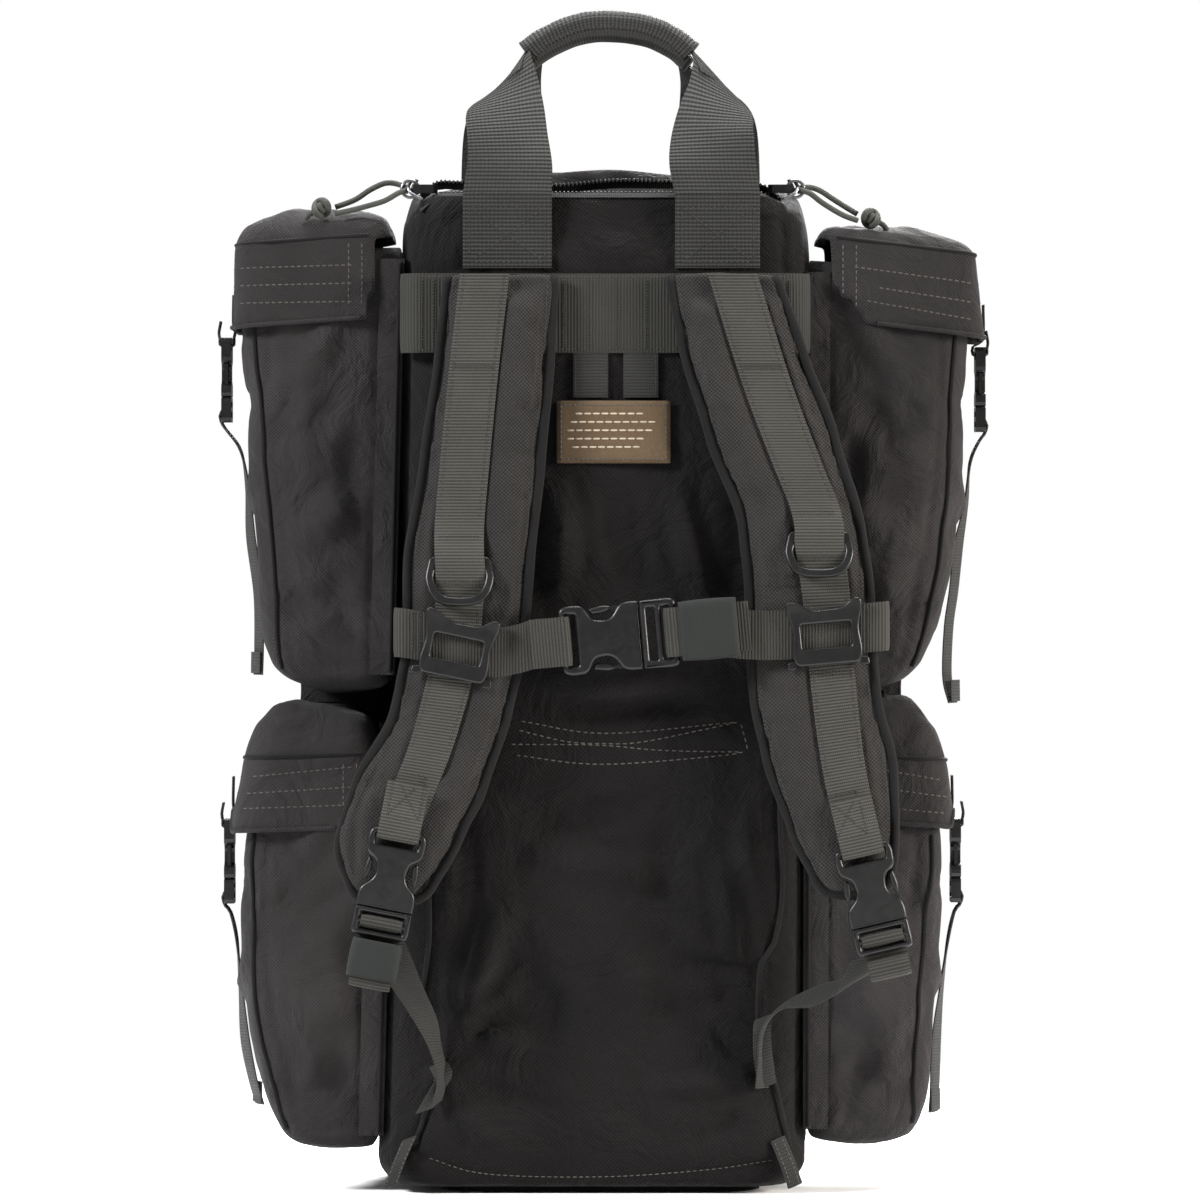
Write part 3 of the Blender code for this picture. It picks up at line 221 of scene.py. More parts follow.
def strap(name, colour, pitch=0.0019, chevron=0.0, rib=0.00035, contrast=0.6, low=0.30,
          high=1.9, yarn=0.0011):
    """Woven strapping with ribs across it, on a UV map of metres along and across."""
    made, tree, shader = new_material(name)
    where = tree.nodes.new("ShaderNodeUVMap")
    parts = tree.nodes.new("ShaderNodeSeparateXYZ")
    tree.links.new(where.outputs[0], parts.inputs[0])
    along, across = parts.outputs[0], parts.outputs[1]
    slanted = sums(tree, "ADD", along, sums(tree, "MULTIPLY", sums(tree, "ABSOLUTE", across),
                                            chevron))
    ribs = sums(tree, "SINE", sums(tree, "MULTIPLY", slanted, 2 * math.pi / pitch))
    yarns = sums(tree, "SINE", sums(tree, "MULTIPLY", across, 2 * math.pi / yarn))
    cells = sums(tree, "MULTIPLY_ADD", ribs, 0.5, 0.5)
    cells = sums(tree, "ADD", sums(tree, "MULTIPLY", cells, 0.70),
                 sums(tree, "MULTIPLY_ADD", yarns, 0.15, 0.15))
    body = tree.nodes.new("ShaderNodeTexCoord").outputs["Object"]
    clouds = noisy(tree, body, 28.0, 3.0)
    specks = noisy(tree, body, 1100.0, 2.0, 0.7)
    tone = mixed(tree, (cells, contrast), (clouds, 0.35), (specks, 0.25))
    painted(tree, shader, tone, colour, ((0.18, low), (0.58, 1.0), (0.95, high)))
    tree.links.new(bump(tree, cells, rib, 0.8), shader.inputs["Normal"])
    tree.links.new(sums(tree, "MULTIPLY_ADD", specks, 0.16, STRAP_ROUGH - 0.08),
                   shader.inputs["Roughness"])
    shader.inputs["Sheen Weight"].default_value = 0.03
    shader.inputs["Specular IOR Level"].default_value = 0.20
    return made


def moulded(name, colour, rough):
    """Moulded nylon: fine orange peel, scuffs and uneven gloss."""
    made, tree, shader = new_material(name)
    where = tree.nodes.new("ShaderNodeTexCoord").outputs["Object"]
    grain = noisy(tree, where, 1400.0, 2.0, 0.6)
    scuffs = noisy(tree, where, 110.0, 5.0, 0.7, 1.5)
    painted(tree, shader, scuffs, colour, ((0.30, 1.0), (0.62, 1.5), (0.80, 2.6)))
    tree.links.new(sums(tree, "MULTIPLY_ADD", scuffs, 0.28, rough - 0.12),
                   shader.inputs["Roughness"])
    tree.links.new(bump(tree, grain, 0.00006, 0.6), shader.inputs["Normal"])
    shader.inputs["Specular IOR Level"].default_value = 0.27
    return made


def metal(name, colour, rough):
    """Plated steel with fine marks."""
    made, tree, shader = new_material(name)
    where = tree.nodes.new("ShaderNodeTexCoord").outputs["Object"]
    marks = noisy(tree, where, 420.0, 4.0, 0.7, 0.8)
    painted(tree, shader, marks, colour, ((0.3, 0.7), (0.7, 1.0)))
    tree.links.new(sums(tree, "MULTIPLY_ADD", marks, 0.25, rough - 0.1),
                   shader.inputs["Roughness"])
    tree.links.new(bump(tree, marks, 0.00004, 0.5), shader.inputs["Normal"])
    shader.inputs["Metallic"].default_value = 1.0
    return made


# the body cloth is darker than the pouch cloth: partly its own darker tone, partly painted shade
# for the body's recess between the shoulder pads
BODY = cloth("body_cloth", (0.0052, 0.0047, 0.0047), pitch=0.0026, contrast=0.36, shine=0.06)
POUCH = cloth("pouch_cloth", (0.0116, 0.0107, 0.0107), shine=0.08)
PAD = cloth("pad_cloth", (0.0112, 0.0105, 0.0101), pitch=0.0023, weave=0.8, contrast=0.62,
            wrinkle=0.0040)
TRIM = cloth("binding_cloth", (0.0040, 0.0038, 0.0038), pitch=0.0014, wrinkle=0.0015)
WEB = strap("webbing", (0.0148, 0.0143, 0.0122), contrast=0.8, low=0.20, high=2.4)
WEB_STERNUM = strap("sternum_webbing", (0.0088, 0.0084, 0.0070), contrast=0.8, low=0.20, high=2.6)
WEB_HANDLE = strap("handle_webbing", (0.0046, 0.0046, 0.0042), pitch=0.0024, rib=0.0007,
                   contrast=0.75, low=0.15, high=4.2, yarn=0.0024)
WEB_YOKE = strap("yoke_webbing", (0.0098, 0.0096, 0.0078))
# darker webbing; on the anchor straps it is painted shade, standing in for the shadow those straps
# lie in
WEB_DARK_AND_SHADE = strap("dark_webbing", (0.0085, 0.0085, 0.0077))
TAPE = strap("zipper_tape", (0.0040, 0.0040, 0.0040), pitch=0.0012)
ELASTIC = strap("elastic", (0.0065, 0.0082, 0.0074), pitch=0.0009, rib=0.00012, contrast=0.3)
CORDAGE = strap("cord_braid", (0.0230, 0.0237, 0.0200), pitch=0.0016, chevron=1.2)
LABEL = cloth("label_cloth", (0.066, 0.045, 0.0265), pitch=0.0014, weave=0.25, wrinkle=0.0012,
              contrast=0.35)
THREAD, THREAD_DARK, THREAD_PALE = (
    strap(name, colour, pitch=0.0006, rib=0.0001, contrast=0.3) for name, colour in (
        ("thread", (0.060, 0.055, 0.048)), ("dark_thread", (0.020, 0.0195, 0.018)),
        ("pale_thread", (0.40, 0.34, 0.26))))
PLASTIC = moulded("buckle_plastic", (0.0026, 0.0026, 0.0026), 0.33)
TEETH = moulded("zipper_teeth", (0.012, 0.012, 0.012), 0.30)
STEEL = metal("slider_steel", (0.17, 0.17, 0.18), 0.30)
SHEET = moulded("stiffener", (0.020, 0.020, 0.020), 0.5)


# ================================================================ mesh helpers
def link(name, mesh, look, body=None):
    mesh.materials.clear()
    mesh.materials.append(look)
    made = bpy.data.objects.new(name, mesh)
    scene.collection.objects.link(made)
    if body:
        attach(made, body)
    return made


def from_bmesh(bm, name, smooth=True):
    mesh = bpy.data.meshes.new(name)
    bm.normal_update()
    bm.to_mesh(mesh)
    bm.free()
    if smooth:
        mesh.shade_smooth()
    return mesh


def catmull(points, step):
    """Points every step metres or so along a smooth curve through the given ones, in any size."""
    path = [np.array(p, float) for p in points]
    ends = [2 * path[0] - path[1]] + path + [2 * path[-1] - path[-2]]
    fine = []
    for a, b, c, d in zip(ends, ends[1:], ends[2:], ends[3:]):
        count = max(1, int(round(np.linalg.norm((c - b)[:3]) / step)))
        for k in range(count):
            t = k / count
            fine.append(0.5 * (2 * b + (c - a) * t + (2 * a - 5 * b + 4 * c - d) * t * t
                               + (3 * b - a - 3 * c + d) * t ** 3))
    return fine + [path[-1]]


def at(table, z):
    """The row of (height, values...) at a height, smoothly between the given rows."""
    if z <= table[0][0]:
        return np.array(table[0][1:], float)
    if z >= table[-1][0]:
        return np.array(table[-1][1:], float)
    for low, high in zip(table, table[1:]):
        if z <= high[0]:
            t = (z - low[0]) / (high[0] - low[0])
            t = t * t * (3 - 2 * t) * 0.35 + t * 0.65
            return np.array(low[1:], float) * (1 - t) + np.array(high[1:], float) * t


def ring(x0, x1, y0, y1, radius, height, count):
    """A rounded rectangle of evenly spaced points, anticlockwise from above."""
    outline = []
    for cx, cy, start in ((x1 - radius, y0 + radius, -90), (x1 - radius, y1 - radius, 0),
                          (x0 + radius, y1 - radius, 90), (x0 + radius, y0 + radius, 180)):
        for k in range(9):
            angle = math.radians(start + 90 * k / 8)
            outline.append((cx + radius * math.cos(angle), cy + radius * math.sin(angle)))
    flat = np.array(outline + outline[:1])
    run = np.concatenate([[0], np.cumsum(np.linalg.norm(np.diff(flat, axis=0), axis=1))])
    want = np.linspace(0, run[-1], count, endpoint=False)
    xs, ys = np.interp(want, run, flat[:, 0]), np.interp(want, run, flat[:, 1])
    level = height if callable(height) else lambda x, y: height
    return [Vector((x, y, level(x, y))) for x, y in zip(xs, ys)]


def tenths(y, *flat):
    """Points at one depth, from x, z, x, z... in tenths of a millimetre."""
    return [(x / 10000, y, z / 10000) for x, z in zip(flat[::2], flat[1::2])]


def near_tree(line):
    tree = KDTree(len(line))
    for index, p in enumerate(line):
        tree.insert(Vector(p), index)
    tree.balance()
    return tree


def surface_tree(piece):
    return BVHTree.FromPolygons([v.co for v in piece.data.vertices],
                                [p.vertices for p in piece.data.polygons])


def loft(rows, low_cap=True):
    bm = bmesh.new()
    made = [[bm.verts.new(p) for p in row] for row in rows]
    count = len(made[0])
    for low, high in zip(made, made[1:]):
        for k in range(count):
            n = (k + 1) % count
            bm.faces.new((low[k], low[n], high[n], high[k]))
    for row, turn in ([(made[0], -1)] if low_cap else []) + [(made[-1], 1)]:
        centre = bm.verts.new(sum((v.co for v in row), Vector()) / count)
        for k in range(count):
            bm.faces.new((*(row[k], row[(k + 1) % count])[::turn], centre))
    return bm


def skin(bm, uv, rows, count, turn=0.0, starts=(0,)):
    """Quads between rings of (vertex, u, v); turn is what a full round adds to v."""
    for low, high in zip(rows, rows[1:]):
        for base in starts:
            for k in range(count):
                n = (k + 1) % count
                quad = (low[base + k], low[base + n], high[base + n], high[base + k])
                face = bm.faces.new([q[0] for q in quad])
                past = turn if n == 0 else 0.0
                for loop, (_, u, v), more in zip(face.loops, quad, (0.0, past, past, 0.0)):
                    loop[uv].uv = (u, v + more)


def band(name, middles, halves, look, body, thickness, step, columns, origin=0.0):
    """Flat strapping along a path, with a UV map of metres along and across it."""
    fine = catmull([(*m, *h) for m, h in zip(middles, halves)], step)
    bm = bmesh.new()
    uv = bm.loops.layers.uv.new("UVMap")
    rows, run, previous = [], origin, None
    shares = [-1 + 2 * k / columns for k in range(columns + 1)]
    profile = [(s, 1) for s in shares] + [(s, -1) for s in reversed(shares)]
    for index, station in enumerate(fine):
        here, half = Vector(station[:3]), Vector(station[3:6])
        ahead = Vector(fine[min(index + 1, len(fine) - 1)][:3])
        behind = Vector(fine[max(index - 1, 0)][:3])
        normal = (ahead - behind).cross(half)
        normal = normal.normalized() if normal.length > 1e-9 else Vector((0, -1, 0))
        if previous is not None:
            run += (here - previous).length
        previous = here
        row = []
        for share, face in profile:
            edge = thickness / 2 * (1 - 0.55 * abs(share) ** 8)
            row.append((bm.verts.new(here + half * share + normal * edge * face),
                        run, share * half.length))
        rows.append(row)
    count = len(profile)
    skin(bm, uv, rows, count)
    for row, order in ((rows[0], -1), (rows[-1], 1)):
        for k in range(columns):
            quad = (row[k], row[k + 1], row[count - 2 - k], row[count - 1 - k])[::order]
            face = bm.faces.new([q[0] for q in quad])
            for loop, source in zip(face.loops, quad):
                loop[uv].uv = source[1:]
    bmesh.ops.recalc_face_normals(bm, faces=bm.faces)
    made = link(name, from_bmesh(bm, name), look, body)
    made.data.set_sharp_from_angle(angle=math.radians(60))
    return made


def rope(name, points, radius, look, body, step=0.0015, sides=12):
    """A round cord along a path, with a UV map of metres along and round it, and its line."""
    fine = [Vector(p[:3]) for p in catmull(points, step)]
    bm = bmesh.new()
    uv = bm.loops.layers.uv.new("UVMap")
    rows, run, side = [], 0.0, None
    for index, here in enumerate(fine):
        along = (fine[min(index + 1, len(fine) - 1)] - fine[max(index - 1, 0)]).normalized()
        if side is None:
            side = along.cross(Vector((0, 0, 1)) if abs(along.z) < 0.9 else Vector((1, 0, 0)))
        side = (side - along * side.dot(along)).normalized()
        up = along.cross(side)
        if index:
            run += (here - fine[index - 1]).length
        rows.append([(bm.verts.new(here + (side * math.cos(2 * math.pi * k / sides)
                                           + up * math.sin(2 * math.pi * k / sides)) * radius),
                      run, k * 2 * math.pi * radius / sides) for k in range(sides)])
    skin(bm, uv, rows, sides, sides * 2 * math.pi * radius / sides)
    bm.faces.new([v[0] for v in reversed(rows[0])])
    bm.faces.new([v[0] for v in rows[-1]])
    bmesh.ops.recalc_face_normals(bm, faces=bm.faces)
    return link(name, from_bmesh(bm, name), look, body), fine


def evaluated(thing):
    """A new mesh of what an object comes to."""
    bpy.context.view_layer.update()
    graph = bpy.context.evaluated_depsgraph_get()
    return bpy.data.meshes.new_from_object(thing.evaluated_get(graph))


def remade(piece):
    """Apply the piece's modifiers."""
    mesh = evaluated(piece)
    piece.modifiers.clear()
    old = piece.data
    piece.data = mesh
    bpy.data.meshes.remove(old)
    mesh.shade_smooth()


def voxelled(piece, size):
    remesh = piece.modifiers.new("remesh", "REMESH")
    remesh.mode = "VOXEL"
    remesh.voxel_size = size
    remade(piece)


def thickened(piece, thickness, offset=-1.0):
    solid = piece.modifiers.new("thick", "SOLIDIFY")
    solid.thickness, solid.offset = thickness, offset
    remade(piece)


def coords(piece):
    flat = np.empty(len(piece.data.vertices) * 3)
    piece.data.vertices.foreach_get("co", flat)
    return flat.reshape(-1, 3)


def normals(piece):
    flat = np.empty(len(piece.data.vertices) * 3)
    piece.data.vertex_normals.foreach_get("vector", flat)
    return flat.reshape(-1, 3)


def place(piece, points):
    piece.data.vertices.foreach_set("co", np.ascontiguousarray(points).ravel())
    piece.data.update()


PUFF_FRAMES, PUFF_STIFF = 20, 18.0


def puff(piece, pressure, cap, held):
    """Cloth under pressure swells the piece; no point moves further than the cap."""
    before = coords(piece)
    group = piece.vertex_groups.new(name="held")
    for index, point in enumerate(before):
        if held(point):
            group.add([index], 1.0, "REPLACE")
    cloth_mod = piece.modifiers.new("cloth", "CLOTH")
    rules = cloth_mod.settings
    rules.quality = 5
    rules.mass = 0.25
    rules.tension_stiffness = rules.compression_stiffness = PUFF_STIFF
    rules.shear_stiffness = PUFF_STIFF / 2
    rules.bending_stiffness = 0.8
    rules.use_pressure = True
    rules.uniform_pressure_force = pressure
    rules.effector_weights.gravity = 0.0
    rules.vertex_group_mass = "held"
    cloth_mod.collision_settings.use_collision = False
    cloth_mod.point_cache.frame_start, cloth_mod.point_cache.frame_end = 1, PUFF_FRAMES
    for step in range(1, PUFF_FRAMES + 1):
        scene.frame_set(step)
    remade(piece)
    piece.vertex_groups.clear()
    scene.frame_set(1)
    move = coords(piece) - before
    far = np.linalg.norm(move, axis=1, keepdims=True)
    move *= np.minimum(1.0, cap / np.maximum(far, 1e-9))
    place(piece, before + move)


def finer(piece):
    sub = piece.modifiers.new("smooth", "SUBSURF")
    sub.levels = sub.render_levels = 1
    remade(piece)


def crease(piece, path, width, depth, taper=0.0):
    """Press a channel, or with a negative depth raise a fold, along a path on the piece."""
    line = np.array([p[:3] for p in catmull(path, width * 0.4)])
    tree = near_tree(line)
    low, high = line.min(0) - width, line.max(0) + width
    points, out = coords(piece), normals(piece)
    near = np.nonzero(((points > low) & (points < high)).all(axis=1))[0]
    last = max(len(line) - 1, 1)
    for k in near:
        _, index, far = tree.find(Vector(points[k]))
        if far < width:
            falloff = 0.5 + 0.5 * math.cos(math.pi * far / width)
            if taper:
                falloff *= min(1.0, min(index, last - index) / last / taper)
            points[k] -= out[k] * depth * falloff
    place(piece, points)


def rumple(piece, amount, scale, seed, stretch, weight=None):
    """Uneven swells over the surface, along its normals."""
    points, out = coords(piece), normals(piece)
    for k, p in enumerate(points):
        share = weight(p) if weight else 1.0
        if share:
            sample = Vector((p[0] * stretch[0], p[1] * stretch[1], p[2] * stretch[2])) * scale
            points[k] = p + out[k] * amount * share * noise.fractal(
                sample + Vector((seed, seed * 1.7, -seed)), 0.9, 2.0, 3)
    place(piece, points)


def rounded(corners, radius):
    """A closed outline with each corner rounded; a corner may carry a radius of its own."""
    outline, count, steps = [], len(corners), 5
    for k, corner in enumerate(corners):
        here = Vector(corner[:2])
        before, after = Vector(corners[k - 1][:2]), Vector(corners[(k + 1) % count][:2])
        size = corner[2] if len(corner) > 2 else radius
        back, ahead = (before - here), (after - here)
        size = min(size, back.length * 0.49, ahead.length * 0.49)
        a, b = here + back.normalized() * size, here + ahead.normalized() * size
        for j in range(steps + 1):
            t = j / steps
            outline.append(a * (1 - t) ** 2 + here * 2 * t * (1 - t) + b * t * t)
    return outline


def plate(name, outlines, thick, edge, where, look, body, bow=None):
    """A flat moulding with rounded edges, its outlines in x and z, seen along y."""
    curve = bpy.data.curves.new(name, "CURVE")
    curve.dimensions = "2D"
    curve.fill_mode = "BOTH"
    curve.extrude = thick / 2 - edge
    curve.bevel_depth, curve.bevel_resolution, curve.offset = edge, 3, -edge
    for outline in outlines:
        spline = curve.splines.new("POLY")
        spline.points.add(len(outline) - 1)
        for point, at_point in zip(spline.points, outline):
            point.co = (at_point[0], at_point[1], 0.0, 1.0)
        spline.use_cyclic_u = True
    holder = bpy.data.objects.new(name, curve)
    scene.collection.objects.link(holder)
    mesh = evaluated(holder)
    bpy.data.objects.remove(holder)
    mesh.transform(Matrix.Rotation(math.radians(90), 4, "X"))
    if bow:
        for v in mesh.vertices:
            v.co.y += bow(v.co.x, v.co.z)
    mesh.transform(where)
    mesh.shade_smooth()
    mesh.set_sharp_from_angle(angle=math.radians(50))
    made = link(name, mesh, look, body)
    return made


class Sewing:
    """Stitches gathered into one mesh for each body and thread."""
    made = {}

    @classmethod
    def stitch(cls, key, a, b, out, width):
        bm = cls.made.setdefault(key, bmesh.new())
        along = b - a
        side = along.cross(out).normalized() * width / 2
        lift = out.normalized() * width * 0.55
        rows = []
        for share, size in ((0.0, 0.35), (0.2, 1.0), (0.8, 1.0), (1.0, 0.35)):
            here = a + along * share
            rows.append([bm.verts.new(here + side * size * c + lift * (size * s + 0.1))
                         for c, s in ((1, 0), (0, 1), (-1, 0), (0, -0.6))])
        for low, high in zip(rows, rows[1:]):
            for k in range(4):
                n = (k + 1) % 4
                bm.faces.new((low[k], low[n], high[n], high[k]))
        bm.faces.new(rows[0][::-1])
        bm.faces.new(rows[-1])

    @classmethod
    def run(cls, piece, path, body="root", thread=None, pitch=0.0038, length=0.0025,
            width=0.0006, reach=0.05, toward=(0, 1, 0)):
        """A row of stitches on a piece; the path is thrown onto it along toward."""
        tree = surface_tree(piece)
        toward = Vector(toward).normalized()
        line = [Vector(p[:3]) for p in catmull(path, pitch / 4)]
        run, start, marks = 0.0, 0.0, []
        for low, high in zip(line, line[1:]):
            gap = (high - low).length
            while start <= run + gap:
                marks.append(low.lerp(high, (start - run) / gap if gap else 0.0))
                start += length if len(marks) % 2 else pitch - length
            run += gap
        for a, b in zip(marks[::2], marks[1::2]):
            hits = [tree.ray_cast(p - toward * reach, toward, reach * 2.0) for p in (a, b)]
            if all(hit[0] is not None for hit in hits):
                (pa, na, _, _), (pb, nb, _, _) = hits
                if (pa - pb).length < length * 3:
                    out = (na + nb).normalized()
                    if out.dot(toward) > 0:
                        out = -out
                    cls.stitch((body, (thread or THREAD_DARK).name), pa, pb, out, width)

    @classmethod
    def close(cls):
        for (body, thread), bm in sorted(cls.made.items()):
            uv = bm.loops.layers.uv.new("UVMap")
            for face in bm.faces:
                for loop in face.loops:
                    loop[uv].uv = (loop.vert.co.x + loop.vert.co.z, loop.vert.co.y)
            link("stitching_" + thread + "_" + body, from_bmesh(bm, "stitching"),
                 bpy.data.materials[thread], body)


# ================================================================ zipper cords
CORD = 0.0034
RING_Z = 0.6038
SLOT_Y = -0.086
CORD_LAY = {
    "left": dict(side=-1, slider=-0.1038, knot=(-0.1682, -0.0850, 0.5925),
                 upper=[(-0.1600, -0.0822, 0.5930), (-0.1482, -0.0815, 0.5975),
                        (-0.1390, -0.0812, 0.6035), (-0.1300, -0.0811, 0.6075),
                        (-0.1225, -0.0812, 0.6070)],
                 lower=[(-0.1220, -0.0910, 0.6010), (-0.1300, -0.0913, 0.5965),
                        (-0.1400, -0.0900, 0.5935), (-0.1500, -0.0880, 0.5910),
                        (-0.1600, -0.0862, 0.5890)]),
    "right": dict(side=1, slider=0.1060, knot=(0.1625, -0.0800, 0.5865),
                  upper=[(0.1545, -0.0785, 0.5890), (0.1470, -0.0788, 0.5935),
                         (0.1390, -0.0800, 0.5985), (0.1320, -0.0808, 0.6030),
                         (0.1255, -0.0812, 0.6050)],
                  lower=[(0.1255, -0.0908, 0.6010), (0.1320, -0.0905, 0.5960),
                         (0.1400, -0.0885, 0.5910), (0.1470, -0.0855, 0.5875),
                         (0.1545, -0.0830, 0.5850)]),
}


def zipper_cord(hand, lay):
    """The looped pull cord through the slider's ring, and the overhand knot at its ends."""
    side, knot = lay["side"], Vector(lay["knot"])
    through = (lay["slider"] + side * (0.008 + 0.003 + 0.0014), SLOT_Y, RING_Z)
    route = lay["upper"] + [through] + lay["lower"]
    loop, line = rope("cord_" + hand, route, CORD / 2, CORDAGE, "zipper_pull_" + hand)
    turns = []
    for k in range(29):
        t = 2 * math.pi * k / 28
        turns.append(knot + Vector((side * 0.0042 * math.sin(t), 0.0036 * math.sin(2 * t + 0.4),
                                    0.0046 * math.cos(t))))
    tie, _ = rope("knot_" + hand, turns, CORD * 0.56, CORDAGE, "zipper_pull_" + hand)
    heart = bmesh.new()
    bmesh.ops.create_icosphere(heart, subdivisions=3, radius=0.0036)
    uv = heart.loops.layers.uv.new("UVMap")
    for face in heart.faces:
        for corner in face.loops:
            corner[uv].uv = (corner.vert.co.z, corner.vert.co.x)
    heart.transform(Matrix.Translation(knot))
    core = link("knot_core_" + hand, from_bmesh(heart, "core"), CORDAGE, "zipper_pull_" + hand)
    ends = [knot + Vector((side * 0.004, 0.001, -0.002)),
            knot + Vector((side * 0.0075, 0.0018, -0.0040)),
            knot + Vector((side * 0.0100, 0.0020, -0.0072))]
    stub, _ = rope("knot_ends_" + hand, ends, CORD / 2, CORDAGE, "zipper_pull_" + hand)
    middle = lay["slider"] + side * 0.011
    circle = [(middle + 0.0051 * math.cos(2 * math.pi * k / 24), SLOT_Y,
               RING_Z + 0.0051 * math.sin(2 * math.pi * k / 24)) for k in range(25)]
    wire, _ = rope("pull_ring_" + hand, circle, 0.0010, STEEL, "zipper_pull_" + hand, sides=14)
    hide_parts("zipper_pull_" + hand)
    slider = "zipper_slider_" + hand
    bail, _ = rope("slider_bail_" + hand,
                   [(lay["slider"] + side * out, y, z) for out, y, z in (
                       (0.0128, SLOT_Y - 0.0035, 0.6042), (0.0105, SLOT_Y - 0.0052, 0.6012),
                       (0.0070, SLOT_Y - 0.0058, 0.5990), (0.0030, SLOT_Y - 0.0055, 0.5974))],
                   0.0009, STEEL, slider, sides=10)
    for shift in (0.0, 0.0032):
        tab, _ = rope(f"slider_tab_{hand}_{'inner' if shift else 'outer'}",
                      [(lay["slider"] + side * (out - shift), SLOT_Y + 0.0005, z)
                       for out, z in ((0.0100, 0.6095), (0.0125, 0.6050), (0.0135, 0.6010))],
                      0.0011, PLASTIC, slider, sides=10)
    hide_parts("zipper_cord_" + hand)
    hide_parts("zipper_knot_" + hand)


for hand, lay in CORD_LAY.items():
    zipper_cord(hand, lay)


# ================================================================ main bag
PANEL_Y, FAR_Y = -0.100, 0.100


def half_left(z):
    return float(at([(0.0, 0.1345), (0.03, 0.1345), (0.15, 0.1302), (0.30, 0.1256),
                     (0.38, 0.1222), (0.60, 0.1195)], z)[0])


def half_right(z):
    return float(at([(0.0, 0.1235), (0.03, 0.1240), (0.30, 0.1250), (0.56, 0.1262),
                     (0.60, 0.1240)], z)[0])


def top_height(x, y):
    across = min(max((y - PANEL_Y - 0.0015) / 0.1905, 0.0), 1.0)
    swell = (0.0135 - 0.005 * (x / 0.12) ** 2) * math.sin(math.pi * across)
    swell += 0.0035 * math.exp(-((x - 0.004) / 0.032) ** 2) * math.sin(math.pi * across)
    reach = min(max((abs(x) - 0.096) / 0.022, 0.0), 1.0)
    drop = 0.009 * reach * reach * (3 - 2 * reach) * max(0.0, 1 - (y - PANEL_Y) / 0.055)
    return 0.6000 + swell - drop


FRONT = PANEL_Y - 0.001
BAG_WIDER, BAG_DEEPER = 1.25, 3.4        # what a tapered crease is multiplied by
